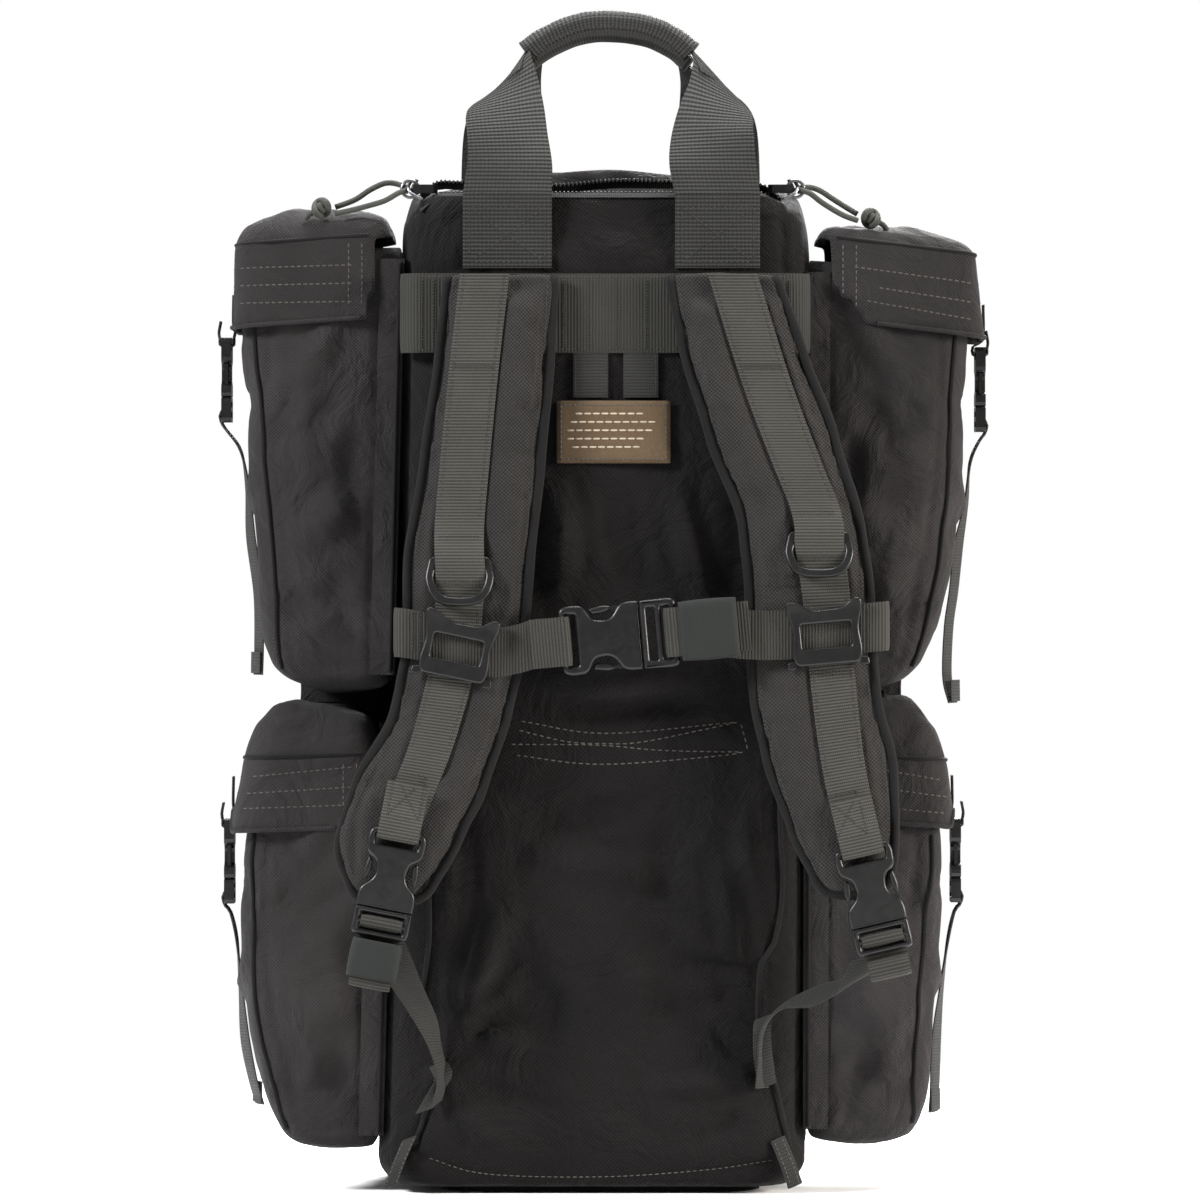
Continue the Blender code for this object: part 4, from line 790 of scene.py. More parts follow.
# each crease of the bag's cloth: its path, width, depth (raised if negative) and taper
BAG_CREASES = (
    # seams of the gussets in front, which the strap anchors pull in
    ([(-0.109, -0.0975, 0.59), (-0.1085, -0.098, 0.42), (-0.108, -0.0985, 0.3), (-0.1055, FRONT,
     0.215), (-0.1022, FRONT, 0.165), (-0.106, FRONT, 0.128), (-0.1085, FRONT, 0.113), (-0.099,
     FRONT, 0.088), (-0.095, FRONT, 0.072), (-0.103, FRONT, 0.056), (-0.111, -0.098, 0.03)],
     0.0055, 0.003, 0.0),
    ([(0.1105, -0.0975, 0.59), (0.111, -0.098, 0.42), (0.1095, -0.0985, 0.3), (0.107, FRONT,
     0.232), (0.1085, FRONT, 0.182), (0.1035, FRONT, 0.15), (0.096, FRONT, 0.138), (0.095, FRONT,
     0.096), (0.104, FRONT, 0.066), (0.112, FRONT, 0.028)], 0.0055, 0.003, 0.0),
    # base seam
    ([(-0.11, -0.098, 0.023), (-0.069, FRONT, 0.0125), (-0.001, FRONT, 0.0105), (0.064, FRONT,
     0.0145), (0.108, -0.098, 0.021)], 0.005, 0.0018, 0.0),
    # folds that fan out of the strap anchors and the harness
    (tenths(FRONT, -930, 800, -600, 1040, -150, 1200), 0.011, 0.0026, 0.5),
    (tenths(FRONT, -940, 860, -700, 1380, -520, 1900), 0.012, -0.0026, 0.5),
    (tenths(FRONT, -980, 1000, -840, 1600, -800, 2300), 0.01, 0.0022, 0.5),
    (tenths(FRONT, -900, 680, -550, 580, -200, 520), 0.01, 0.0022, 0.5),
    (tenths(FRONT, -920, 620, -700, 360, -400, 260), 0.009, -0.0018, 0.5),
    (tenths(FRONT, 940, 880, 620, 1080, 220, 1160), 0.012, 0.0026, 0.5),
    (tenths(FRONT, 950, 980, 800, 1500, 720, 2050), 0.011, -0.0024, 0.5),
    (tenths(FRONT, 930, 760, 600, 660, 200, 640), 0.01, -0.002, 0.5),
    (tenths(FRONT, 940, 660, 740, 400, 500, 280), 0.009, 0.0018, 0.5),
    (tenths(FRONT, 900, 1280, 500, 1600, 100, 1720), 0.012, -0.002, 0.5),
    (tenths(FRONT, -300, 4320, -220, 3950, -260, 3500), 0.012, -0.003, 0.4),
    (tenths(FRONT, 100, 4300, 140, 3900, 300, 3520), 0.013, 0.003, 0.4),
    (tenths(FRONT, 440, 4360, 520, 3920, 700, 3400), 0.012, -0.0026, 0.4),
    (tenths(FRONT, -400, 3180, 0, 3060, 600, 3160), 0.012, -0.0024, 0.4),
    (tenths(FRONT, -600, 3000, -100, 2910, 700, 2980), 0.01, 0.002, 0.4),
    (tenths(FRONT, -700, 2360, -200, 2260, 500, 2380), 0.012, 0.0022, 0.4),
    (tenths(FRONT, -500, 2050, 0, 1960, 600, 2000), 0.014, -0.0022, 0.4),
    (tenths(FRONT, -990, 900, -660, 940, -300, 860), 0.01, -0.0024, 0.5),
    (tenths(FRONT, -1000, 1120, -780, 1180, -500, 1460), 0.009, 0.0022, 0.5),
    (tenths(FRONT, -1060, 1400, -900, 1900, -980, 2500), 0.011, -0.0024, 0.5),
    (tenths(FRONT, 980, 1180, 780, 1340, 400, 1400), 0.009, 0.0026, 0.5),
    (tenths(FRONT, 900, 1800, 820, 1300, 780, 600), 0.012, 0.0024, 0.5),
    (tenths(FRONT, 1040, 1600, 880, 2060, 920, 2500), 0.011, -0.0022, 0.5),
    (tenths(FRONT, -120, 1800, 200, 1300, 140, 700), 0.018, -0.002, 0.5),
    (tenths(FRONT, -600, 1600, -360, 1100, -440, 600), 0.016, 0.0022, 0.5),
    (tenths(FRONT, 520, 2400, 360, 1900, 500, 1500), 0.016, 0.002, 0.5),
    (tenths(FRONT, -920, 5600, -600, 5400, -200, 5560), 0.01, 0.0014, 0.5),
    (tenths(FRONT, 300, 5850, 100, 5660, -100, 5780), 0.012, -0.0014, 0.5),
    # sewn channels of the lumbar patch
    (tenths(FRONT, -480, 2838, 24, 2766, 804, 2832), 0.0042, 0.0016, 0.0),
    (tenths(FRONT, -540, 2700, -6, 2694, 354, 2664, 864, 2652), 0.0042, 0.0016, 0.0),
    (tenths(FRONT, -510, 2634, -6, 2580, 684, 2628, 882, 2658), 0.0042, 0.0014, 0.0),
    # far panel: a seam all round and two long soft folds
    (tenths(FAR_Y, -1040, 5900, -1080, 3000, -1120, 400), 0.0055, 0.0028, 0.0),
    (tenths(FAR_Y, 1060, 5900, 1060, 3000, 1060, 400), 0.0055, 0.0028, 0.0),
    (tenths(FAR_Y, -800, 3000, 0, 2700, 800, 3100), 0.014, 0.0025, 0.4),
    (tenths(FAR_Y, -700, 1200, 0, 1500, 700, 1100), 0.014, -0.0025, 0.4),
    # rear seam of each gusset
    (tenths(0.074, -1220, 5880, -1250, 3000, -1340, 400), 0.0055, 0.0024, 0.0),
    (tenths(0.074, 1250, 5880, 1250, 3000, 1240, 400), 0.0055, 0.0024, 0.0),
)


def build_bag():
    """The bag's outer cloth: lofted, swollen as cloth, then seamed and creased."""
    rows, count = [], 150
    for z, cut, deep, radius in ((0.0034, 0.020, 0.012, 0.022), (0.0042, 0.012, 0.0075, 0.022),
                                 (0.0080, 0.0060, 0.0038, 0.021), (0.0140, 0.0025, 0.0018, 0.020),
                                 (0.0230, 0.0010, 0.0008, 0.020)):
        rows.append(ring(-half_left(z) + cut, half_right(z) - cut, PANEL_Y + deep, FAR_Y - deep,
                         radius, z, count))
    z = 0.032
    while z < 0.583:
        rows.append(ring(-half_left(z) + 0.0015, half_right(z) - 0.0015, PANEL_Y + 0.001,
                         FAR_Y - 0.001, 0.021, z, count))
        z += 0.009
    for inset, sink in ((0.0015, 0.010), (0.0022, 0.0048), (0.0045, 0.0012), (0.0090, 0.0),
                        (0.020, 0.0), (0.036, 0.0), (0.055, 0.0), (0.075, 0.0)):
        rows.append(ring(-half_left(0.6) + inset, half_right(0.6) - inset, PANEL_Y + inset * 0.8,
                         FAR_Y - inset * 1.1, max(0.004, 0.021 - inset * 0.3),
                         lambda x, y, sink=sink: top_height(x, y) - sink, count))
    bag = link("bag_cloth", from_bmesh(loft(rows), "bag"), BODY)
    voxelled(bag, 0.0055)
    puff(bag, 3.2, 0.0045, held=lambda p: p[2] < 0.012)
    points = coords(bag)
    for p in points:
        front = -0.1018 if p[2] > 0.44 else -0.1018 - 0.0050 * min(1.0, (0.44 - p[2]) / 0.2)
        p[1] = max(p[1], front)
        if -0.088 < p[1] < 0.052:
            p[0] = min(max(p[0], -half_left(p[2]) + 0.0004), half_right(p[2]) - 0.0004)
        p[2] = max(p[2], 0.0034)
    place(bag, points)
    finer(bag)
    rumple(bag, 0.0011, 16.0, 3.1, (1.0, 1.0, 0.6),
           lambda p: 0.35 if p[2] < 0.02 or p[2] > 0.585 else 1.0)
    for path, width, depth, taper in BAG_CREASES:
        wider, deeper = (BAG_WIDER, BAG_DEEPER) if taper else (1.0, 1.0)
        crease(bag, path, width * wider, depth * deeper, taper)

    points = coords(bag)
    for p in points:
        if p[1] < -0.080 and abs(p[0]) < 0.097 and 0.032 < p[2] < 0.572:
            p[1] = min(p[1], -0.0992)
        if p[1] < -0.086 and abs(p[0]) < 0.110 and p[2] > 0.588:
            p[2] = max(p[2], top_height(p[0], p[1]) - 0.0014)
    place(bag, points)
    bm = bmesh.new()
    bm.from_mesh(bag.data)
    doomed = []
    for face in bm.faces:
        c = face.calc_center_median()
        wide = 0.0085 * (1 - 0.5 * (c.x / 0.110) ** 2)
        if (abs(c.x) < 0.107 and c.z > 0.590
                and SLOT_Y - 0.60 * wide < c.y < SLOT_Y + wide):
            doomed.append(face)
    bmesh.ops.delete(bm, geom=doomed, context="FACES")
    bm.to_mesh(bag.data)
    bm.free()
    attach(bag, "root")
    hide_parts("main_shell")

    for path in ((-480, 2838, 24, 2766, 804, 2832),
                 (-492, 2784, -216, 2718, -6, 2704, 234, 2712, 594, 2784, 816, 2832),
                 (-540, 2700, -6, 2694, 354, 2664, 864, 2652),
                 (-510, 2634, -6, 2580, 684, 2628, 882, 2658), (840, 2820, 876, 2688, 882, 2650)):
        Sewing.run(bag, tenths(PANEL_Y, *path), "root", THREAD, pitch=0.0042, length=0.0027,
                   width=0.00075)
    Sewing.run(bag, [(-0.103, PANEL_Y, 0.0215), (-0.069, PANEL_Y, 0.0120), (0.0, PANEL_Y, 0.0102),
                     (0.0636, PANEL_Y, 0.0145), (0.104, PANEL_Y, 0.0205)], "root",
               THREAD, width=0.0007)
    for x in (-0.100, 0.102):
        Sewing.run(bag, [(x, FAR_Y, 0.575), (x, FAR_Y, 0.060)], "root", toward=(0, -1, 0))
    return bag


bag = build_bag()
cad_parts["base_panel"].data.materials[0] = TRIM
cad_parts["frame_sheet"].data.materials[0] = SHEET


def piping(name, path, radius, piece, toward=(0, 1, 0)):
    """A bound seam laid on a piece of the root; the path is thrown onto it along toward."""
    tree, way, sink = surface_tree(piece), Vector(toward).normalized(), 0.0004
    laid = []
    for p in (Vector(p[:3]) for p in catmull(path, 0.006)):
        hit, normal, _, _ = tree.ray_cast(p - way * 0.05, way, 0.12)
        if hit is not None:
            laid.append(hit + (normal if normal.dot(way) < 0 else -normal) * (radius - sink))
    made, _ = rope(name, laid, radius, TRIM, "root", step=0.004, sides=10)


piping("seam_cord_left", tenths(-0.1, -1080, 2960, -1055, 2150, -1022, 1650, -1060, 1280,
                                -1085, 1130, -990, 880, -950, 720, -1030, 560, -1110, 300),
       0.0017, bag)
piping("seam_cord_right", tenths(-0.1, 1090, 2900, 1070, 2320, 1085, 1820, 1035, 1500,
                                 960, 1380, 950, 960, 1040, 660, 1120, 280), 0.0017, bag)


# ---------------------------------------------------------------- trim on the harness panel
def yoke():
    path = [(-0.1200, -0.0885, 0.5286), (-0.1186, -0.0975, 0.5286), (-0.1115, -0.1030, 0.5286),
            (-0.0900, -0.1036, 0.5286), (0.0, -0.1038, 0.5284), (0.0900, -0.1036, 0.5286),
            (0.1150, -0.1030, 0.5286), (0.1232, -0.0975, 0.5286), (0.1250, -0.0885, 0.5286)]
    made = band("yoke_band", path, [(0, 0, 0.0238)] * len(path), WEB_YOKE, "root", 0.0020,
                0.004, 12)
    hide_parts("yoke_webbing")
    for x in (-0.1075, -0.1005, -0.0935, -0.0225, -0.0060, 0.0105, 0.0270, 0.1065, 0.1125):
        Sewing.run(made, [(x, -0.104, 0.5075), (x + 0.0003, -0.104, 0.5500)], "root",
                   pitch=0.0019, length=0.0014, width=0.0010)
    for z in (0.5070, 0.5502):
        Sewing.run(made, [(-0.108, -0.104, z), (0.112, -0.104, z)], "root",
                   pitch=0.0036)
    for name, x in (("yoke_loop_left", -0.0062), ("yoke_loop_right", 0.0238)):
        drop = band(name, [(x, -0.1032, 0.5050), (x, -0.1036, 0.4920), (x, -0.1030, 0.4780)],
                    [(0.0105, 0, 0)] * 3, WEB_DARK_AND_SHADE, "root", 0.0014, 0.004, 6)
        for edge in (-0.0092, 0.0092):
            Sewing.run(drop, [(x + edge, -0.103, 0.503), (x + edge, -0.103, 0.479)],
                       pitch=0.0022, length=0.0016)


def label():
    """A stitched cloth label with plain ruled lines."""
    x0, x1, z0, z1, y = -0.0264, 0.0414, 0.4386, 0.4758, -0.1046
    bm = bmesh.new()
    steps_x, steps_z = 26, 14
    rows = []
    for j in range(steps_z + 1):
        row = []
        for i in range(steps_x + 1):
            x, z = x0 + (x1 - x0) * i / steps_x, z0 + (z1 - z0) * j / steps_z
            edge = min(i, steps_x - i, j, steps_z - j)
            swell = 0.0009 if edge else 0.0
            ripple = 0.0007 * math.sin(x * 70 + z * 55) + 0.0005 * math.sin(z * 150 - x * 40)
            row.append(bm.verts.new((x, y - swell - ripple, z)))
        rows.append(row)
    for low, high in zip(rows, rows[1:]):
        for a, b, c, d in zip(low, low[1:], high[1:], high):
            bm.faces.new((a, b, c, d))
    bmesh.ops.recalc_face_normals(bm, faces=bm.faces)
    made = link("cloth_label", from_bmesh(bm, "label"), LABEL)
    thickened(made, 0.0012, 0.0)
    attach(made, "root")
    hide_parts("label")
    inset = 0.0024
    box = [(x0 + inset, y, z0 + inset), (x1 - inset, y, z0 + inset), (x1 - inset, y, z1 - inset),
           (x0 + inset, y, z1 - inset), (x0 + inset, y, z0 + inset)]
    for a, b in zip(box, box[1:]):
        Sewing.run(made, [a, b], "root", THREAD, pitch=0.0030, length=0.0021,
                   width=0.0009)
    for z, left, right in ((0.4682, 0.011, 0.012), (0.4632, 0.008, 0.006), (0.4582, 0.006, 0.009),
                           (0.4532, 0.006, 0.012), (0.4482, 0.009, 0.016)):
        Sewing.run(made, [(x0 + left, y, z), (x1 - right, y, z)], "root", THREAD_PALE,
                   pitch=0.0052, length=0.0043, width=0.0011)


yoke()
label()


# ---------------------------------------------------------------- zipper
def zipper():
    for name, sign, z, lean in (("front", -1, 0.5998, 0.0016), ("rear", 1, 0.6062, 0.0022)):
        middles, halves, ends = [], [], []
        for k in range(23):
            x = -0.1085 + 0.217 * k / 22
            half = (0.0062 if sign < 0 else 0.0095) * (1 - 0.5 * (x / 0.113) ** 2)
            fall = 0.0085 * max(0.0, (abs(x) - 0.094) / 0.0145) ** 2
            rise = 0.0014 * math.sin(x * 41.0) + 0.0006 * math.sin(x * 97.0 + 1.0)
            middles.append((x, SLOT_Y + sign * (half + 0.0010), z + rise * (sign + 1) / 2 - fall))
            halves.append((0.0, 0.0040 * -sign, lean))
            ends.append(Vector((x, SLOT_Y + sign * (half - 0.0034),
                                z + rise * (sign + 1) / 2 - fall + lean * 0.9)))
        made = band("toothed_tape_" + name, middles, halves, TAPE, "root", 0.0009, 0.004, 5)
        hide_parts("zipper_tape_" + name)
        bm = bmesh.new()
        line = [Vector(p) for p in catmull(ends, 0.0023)]
        for index, here in enumerate(line):
            along = (line[min(index + 1, len(line) - 1)]
                     - line[max(index - 1, 0)]).normalized()
            cube = bmesh.ops.create_cube(bm, size=1.0)["verts"]
            spin = along.to_track_quat("X", "Z").to_matrix().to_4x4()
            for v in cube:
                wide = 1.0 - 0.25 * (v.co.y * -sign + 0.5)
                v.co = spin @ Vector((v.co.x * 0.00135 * wide, v.co.y * 0.0030,
                                      v.co.z * 0.0021)) + here
        bmesh.ops.bevel(bm, geom=list(bm.edges), offset=0.00028, segments=1, affect="EDGES")
        teeth = link("zipper_teeth_" + name, from_bmesh(bm, "teeth", smooth=False), TEETH, "root")


zipper()


# ================================================================ side pouches
GAP = 0.0003
STRAP_Y, STRAP_HALF = -0.030, 0.0096
POUCH_FRONT, POUCH_REAR, LID_STANDOFF = -0.085, 0.045, 0.0045
WALL_HALF = {-1: (0.1335, 0.1195), 1: (0.124, 0.1255)}
POUCHES = {
    "upper_left": dict(
        rise=0.0160, side=-1, fall=0.07, hinge_z=0.576, seed=1.0,
        wall=[(0.3035, 0.180), (0.3070, 0.190), (0.3125, 0.1975), (0.3180, 0.2005),
              (0.340, 0.2030), (0.390, 0.2050), (0.420, 0.2080), (0.450, 0.2110),
              (0.475, 0.2105), (0.495, 0.2150), (0.556, 0.2165)],
        lid=[(0.5265, 0.2225, 0.0), (0.577, 0.2205, 0.0), (0.589, 0.212, 0.009),
             (0.596, 0.190, 0.034)],
        edge=[(0.574, 0.1368), (0.534, 0.1380), (0.5226, 0.1422)], drop=0.0,
        rows=[(0.1500, 0.5580, 0.2200, 0.5560), (0.1500, 0.5470, 0.2200, 0.5455),
              (0.1500, 0.5360, 0.2200, 0.5350)],
        buckle=0.2275,
        tail=[(0.2190, 0.447), (0.2150, 0.425), (0.2130, 0.395), (0.2085, 0.360),
              (0.2080, 0.330), (0.2085, 0.311)]),
    "upper_right": dict(
        rise=0.0160, side=1, fall=0.12, hinge_z=0.571, seed=2.0,
        wall=[(0.3050, 0.172), (0.3085, 0.186), (0.318, 0.1945), (0.349, 0.2060), (0.385, 0.2110),
              (0.440, 0.2165), (0.485, 0.2175), (0.548, 0.2205)],
        lid=[(0.5260, 0.2315, 0.0), (0.576, 0.2265, 0.0), (0.5835, 0.216, 0.009),
             (0.5875, 0.192, 0.034)],
        edge=[(0.572, 0.1385), (0.548, 0.1405), (0.5250, 0.1590), (0.5190, 0.1660)], drop=0.0,
        rows=[(0.1524, 0.5568, 0.2240, 0.5470), (0.1674, 0.5442, 0.2240, 0.5355),
              (0.1600, 0.5364, 0.2244, 0.5250)],
        buckle=0.2305,
        tail=[(0.2245, 0.440), (0.2220, 0.415), (0.2175, 0.390), (0.2145, 0.362),
              (0.2115, 0.340), (0.2105, 0.310), (0.2140, 0.294)]),
    "lower_left": dict(
        rise=0.006, side=-1, fall=0.03, hinge_z=0.272, seed=3.0,
        wall=[(0.026, 0.178), (0.029, 0.188), (0.036, 0.1945), (0.060, 0.2040), (0.100, 0.2125),
              (0.140, 0.2160), (0.200, 0.2165), (0.256, 0.2090)],
        lid=[(0.2300, 0.2225, 0.0), (0.2640, 0.2155, 0.0), (0.2865, 0.2050, 0.008),
             (0.2955, 0.1960, 0.030)],
        edge=[(0.270, 0.1400), (0.2172, 0.1584)], drop=0.011,
        rows=[(0.1500, 0.2560, 0.2130, 0.2500), (0.1500, 0.2440, 0.2150, 0.2400),
              (0.1560, 0.2330, 0.2160, 0.2310)],
        buckle=0.2258,
        tail=[(0.2215, 0.150), (0.2190, 0.120), (0.2165, 0.090), (0.2120, 0.066),
              (0.2075, 0.050)]),
    "lower_right": dict(
        rise=0.01, side=1, fall=0.05, hinge_z=0.276, seed=4.0,
        wall=[(0.030, 0.178), (0.0325, 0.188), (0.040, 0.1940), (0.070, 0.1960), (0.110, 0.1980),
              (0.150, 0.2015), (0.200, 0.2055), (0.250, 0.2020)],
        lid=[(0.2322, 0.2125, 0.0), (0.2640, 0.2085, 0.0), (0.2860, 0.1990, 0.008),
             (0.3000, 0.1820, 0.030)],
        edge=[(0.272, 0.1460), (0.2200, 0.1640)], drop=0.009,
        rows=[(0.1600, 0.2560, 0.2060, 0.2480), (0.1640, 0.2440, 0.2080, 0.2380),
              (0.1660, 0.2320, 0.2090, 0.2280)],
        buckle=0.2155,
        tail=[(0.2110, 0.150), (0.2070, 0.120), (0.2040, 0.090), (0.2030, 0.060),
              (0.2020, 0.045)]),
}


def wall_x(side, z):
    low, high = WALL_HALF[side]
    return low + (high - low) * (z - 0.03) / 0.57


def span(side, inner, outer):
    return (inner, outer) if side > 0 else (-outer, -inner)


HINGE_OUT, BUCKLE_DROP = 0.005, 0.0038


def hinge_out(plan):
    return wall_x(plan["side"], plan["hinge_z"]) + HINGE_OUT


def buckle_top(plan):
    low, out, _ = plan["lid"][0]
    return low - plan["fall"] * (out - hinge_out(plan)) - BUCKLE_DROP


POUCH_WIDER, POUCH_DEEPER, POUCH_TAPER = 1.3, 2.1, 0.4
# the folds of a pouch: on its front (x and z) or its outer wall (y and z), from which height,
# width, depth (raised if negative), then the path in tenths of a millimetre
POUCH_FOLDS = (
    (False, "middle", 0.012, 0.0028, -700, 500, -300, 340, 100, 520),
    (False, "middle", 0.012, -0.0024, -740, -40, -300, -200, 200, -20),
    (True, "middle", 0.012, 0.0024, 1500, 460, 1720, 260, 1960, 360),
    (True, "middle", 0.014, -0.0026, 1440, -100, 1680, -360, 1980, -400),
    (True, "middle", 0.012, 0.0022, 1500, -700, 1760, -840, 1960, -740),
    (False, "bottom", 0.010, 0.0020, -500, 300, -300, 600, -320, 1000),
    (True, "middle", 0.013, -0.0024, 2020, 180, 1780, 620, 1500, 1040),
    (True, "middle", 0.012, 0.0022, 2050, 20, 1880, 400, 1720, 960),
    (True, "middle", 0.011, 0.0020, 1400, -460, 1500, -100, 1460, 400),
    (True, "bottom", 0.014, -0.0020, 1900, 140, 1720, 500, 1800, 900),
    (True, "bottom", 0.012, 0.0022, 1420, 200, 1580, 480, 1900, 600),
)


def build_pouch(name, plan):
    side, table = plan["side"], plan["wall"]
    bottom, top = table[0][0], table[-1][0] + plan["rise"]
    heights = [bottom, bottom + 0.0025, bottom + 0.007, bottom + 0.014]
    while heights[-1] < top - 0.011:
        heights.append(heights[-1] + 0.0095)
    heights.append(top)
    rows = []
    for z in heights:
        lift = z - bottom
        inset = 0.007 * max(0.0, 1 - lift / 0.010) ** 2
        x0, x1 = span(side, wall_x(side, z) + 0.0004 + inset * 0.5,
                      float(at(table, z)[0]) - 0.0008)
        level = z if z < top else (
            lambda x, y, z=z: z - plan["fall"] * (abs(x) - wall_x(side, z)))
        rows.append(ring(x0, x1, POUCH_FRONT + 0.001 + inset, POUCH_REAR - 0.001 - inset,
                         0.014, level, 92))
    made = link("pouch_cloth_" + name, from_bmesh(loft(rows), name), POUCH)
    voxelled(made, 0.0055)
    puff(made, 4.0, 0.0035, held=lambda p: p[2] > top - 0.016 or abs(p[0]) < 0.140)
    points = coords(made)
    for p in points:
        least = wall_x(side, p[2]) + 0.0003
        p[0] = side * max(side * p[0], least)
        if p[2] > top - 0.060:
            p[1] = min(max(p[1], POUCH_FRONT), POUCH_REAR)
            p[0] = side * min(side * p[0], plan["lid"][0][1] - 0.0055)
        p[1] = max(p[1], POUCH_FRONT - 0.0028)
    place(made, points)
    finer(made)
    rumple(made, 0.0010, 26.0, plan["seed"], (1.0, 1.0, 0.7))
    mid = (bottom + top) / 2
    out = lambda z: side * float(at(table, z)[0])
    low, high = bottom + 0.012, top - 0.045
    for path in (
            [(out(z) - side * 0.014, POUCH_FRONT, z) for z in (low, mid, high)],
            [(side * (wall_x(side, z) + 0.012), POUCH_FRONT, z) for z in (low, mid, high)],
            [(side * 0.146, POUCH_FRONT, low + 0.002), (side * 0.170, POUCH_FRONT, low),
             (out(low) - side * 0.014, POUCH_FRONT, low + 0.003)]):
        crease(made, path, 0.0050, 0.0016)
    for on_front, base, width, depth, *flat in POUCH_FOLDS:
        level = mid if base == "middle" else bottom
        pairs = zip(flat[::2], flat[1::2])
        path = [(side * a / 10000, POUCH_FRONT, level + z / 10000) if on_front
                else (out(mid), a / 10000, level + z / 10000) for a, z in pairs]
        crease(made, path, width * POUCH_WIDER, depth * POUCH_DEEPER, POUCH_TAPER)
    bm = bmesh.new()
    bm.from_mesh(made.data)
    cut = Vector((side * wall_x(side, top), 0, top - 0.0025))
    bmesh.ops.bisect_plane(bm, geom=list(bm.verts) + list(bm.edges) + list(bm.faces),
                           plane_co=cut, plane_no=(side * plan["fall"], 0, 1), clear_outer=True)
    bm.to_mesh(made.data)
    bm.free()
    thickened(made, 0.0014)
    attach(made, "root")
    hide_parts("pouch_" + name)
    corner = [(out(z) - side * 0.0062, POUCH_FRONT + 0.0055, z)
              for z in (low, low + 0.06, mid, mid + 0.05, high)]
    piping("pouch_seam_" + name, corner, 0.0013, made, (-side * 0.6, 1, 0))
    inner = [(side * (wall_x(side, z) + 0.0006), POUCH_FRONT - 0.0002, z)
             for z in (bottom + 0.010, low + 0.06, mid, mid + 0.05, high + 0.020, top - 0.012)]
    welt, _ = rope("pouch_inner_seam_" + name, inner, 0.0013, TRIM, "root", step=0.004, sides=10)
    joint = bmesh.new()
    bmesh.ops.create_cube(joint, size=1.0)
    for v in joint.verts:
        z = bottom + 0.008 if v.co.z < 0 else top - 0.010
        v.co = Vector((side * (wall_x(side, z) + 0.0052) + v.co.x * 0.0150,
                       (POUCH_FRONT + 0.0008 + 0.015) / 2 + v.co.y * (0.015 - POUCH_FRONT - 0.0008),
                       z))
    web = link("pouch_joint_" + name, from_bmesh(joint, "joint", False), POUCH, "root")


def lid_row(plan, z, outer, inset, share):
    """One ring of a lid; share is 0 on the skirt and 1 at the crown."""
    side, pin = plan["side"], hinge_out(plan)
    inner = pin + 0.0010 + 0.031 * share ** 1.3
    x0, x1 = span(side, inner, outer)

    def height(x, y):
        low = plan["drop"] if y < -0.070 and z < plan["lid"][1][0] - 0.004 else 0.0
        part = (plan["lid"][1][0] - z) / (plan["lid"][1][0] - plan["lid"][0][0])
        return z - plan["fall"] * (abs(x) - pin) - low * max(0.0, min(1.0, part))
    return ring(x0, x1, POUCH_FRONT - LID_STANDOFF + inset, POUCH_REAR + LID_STANDOFF - inset,
                max(0.006, 0.018 - 0.2 * inset), height, 104)


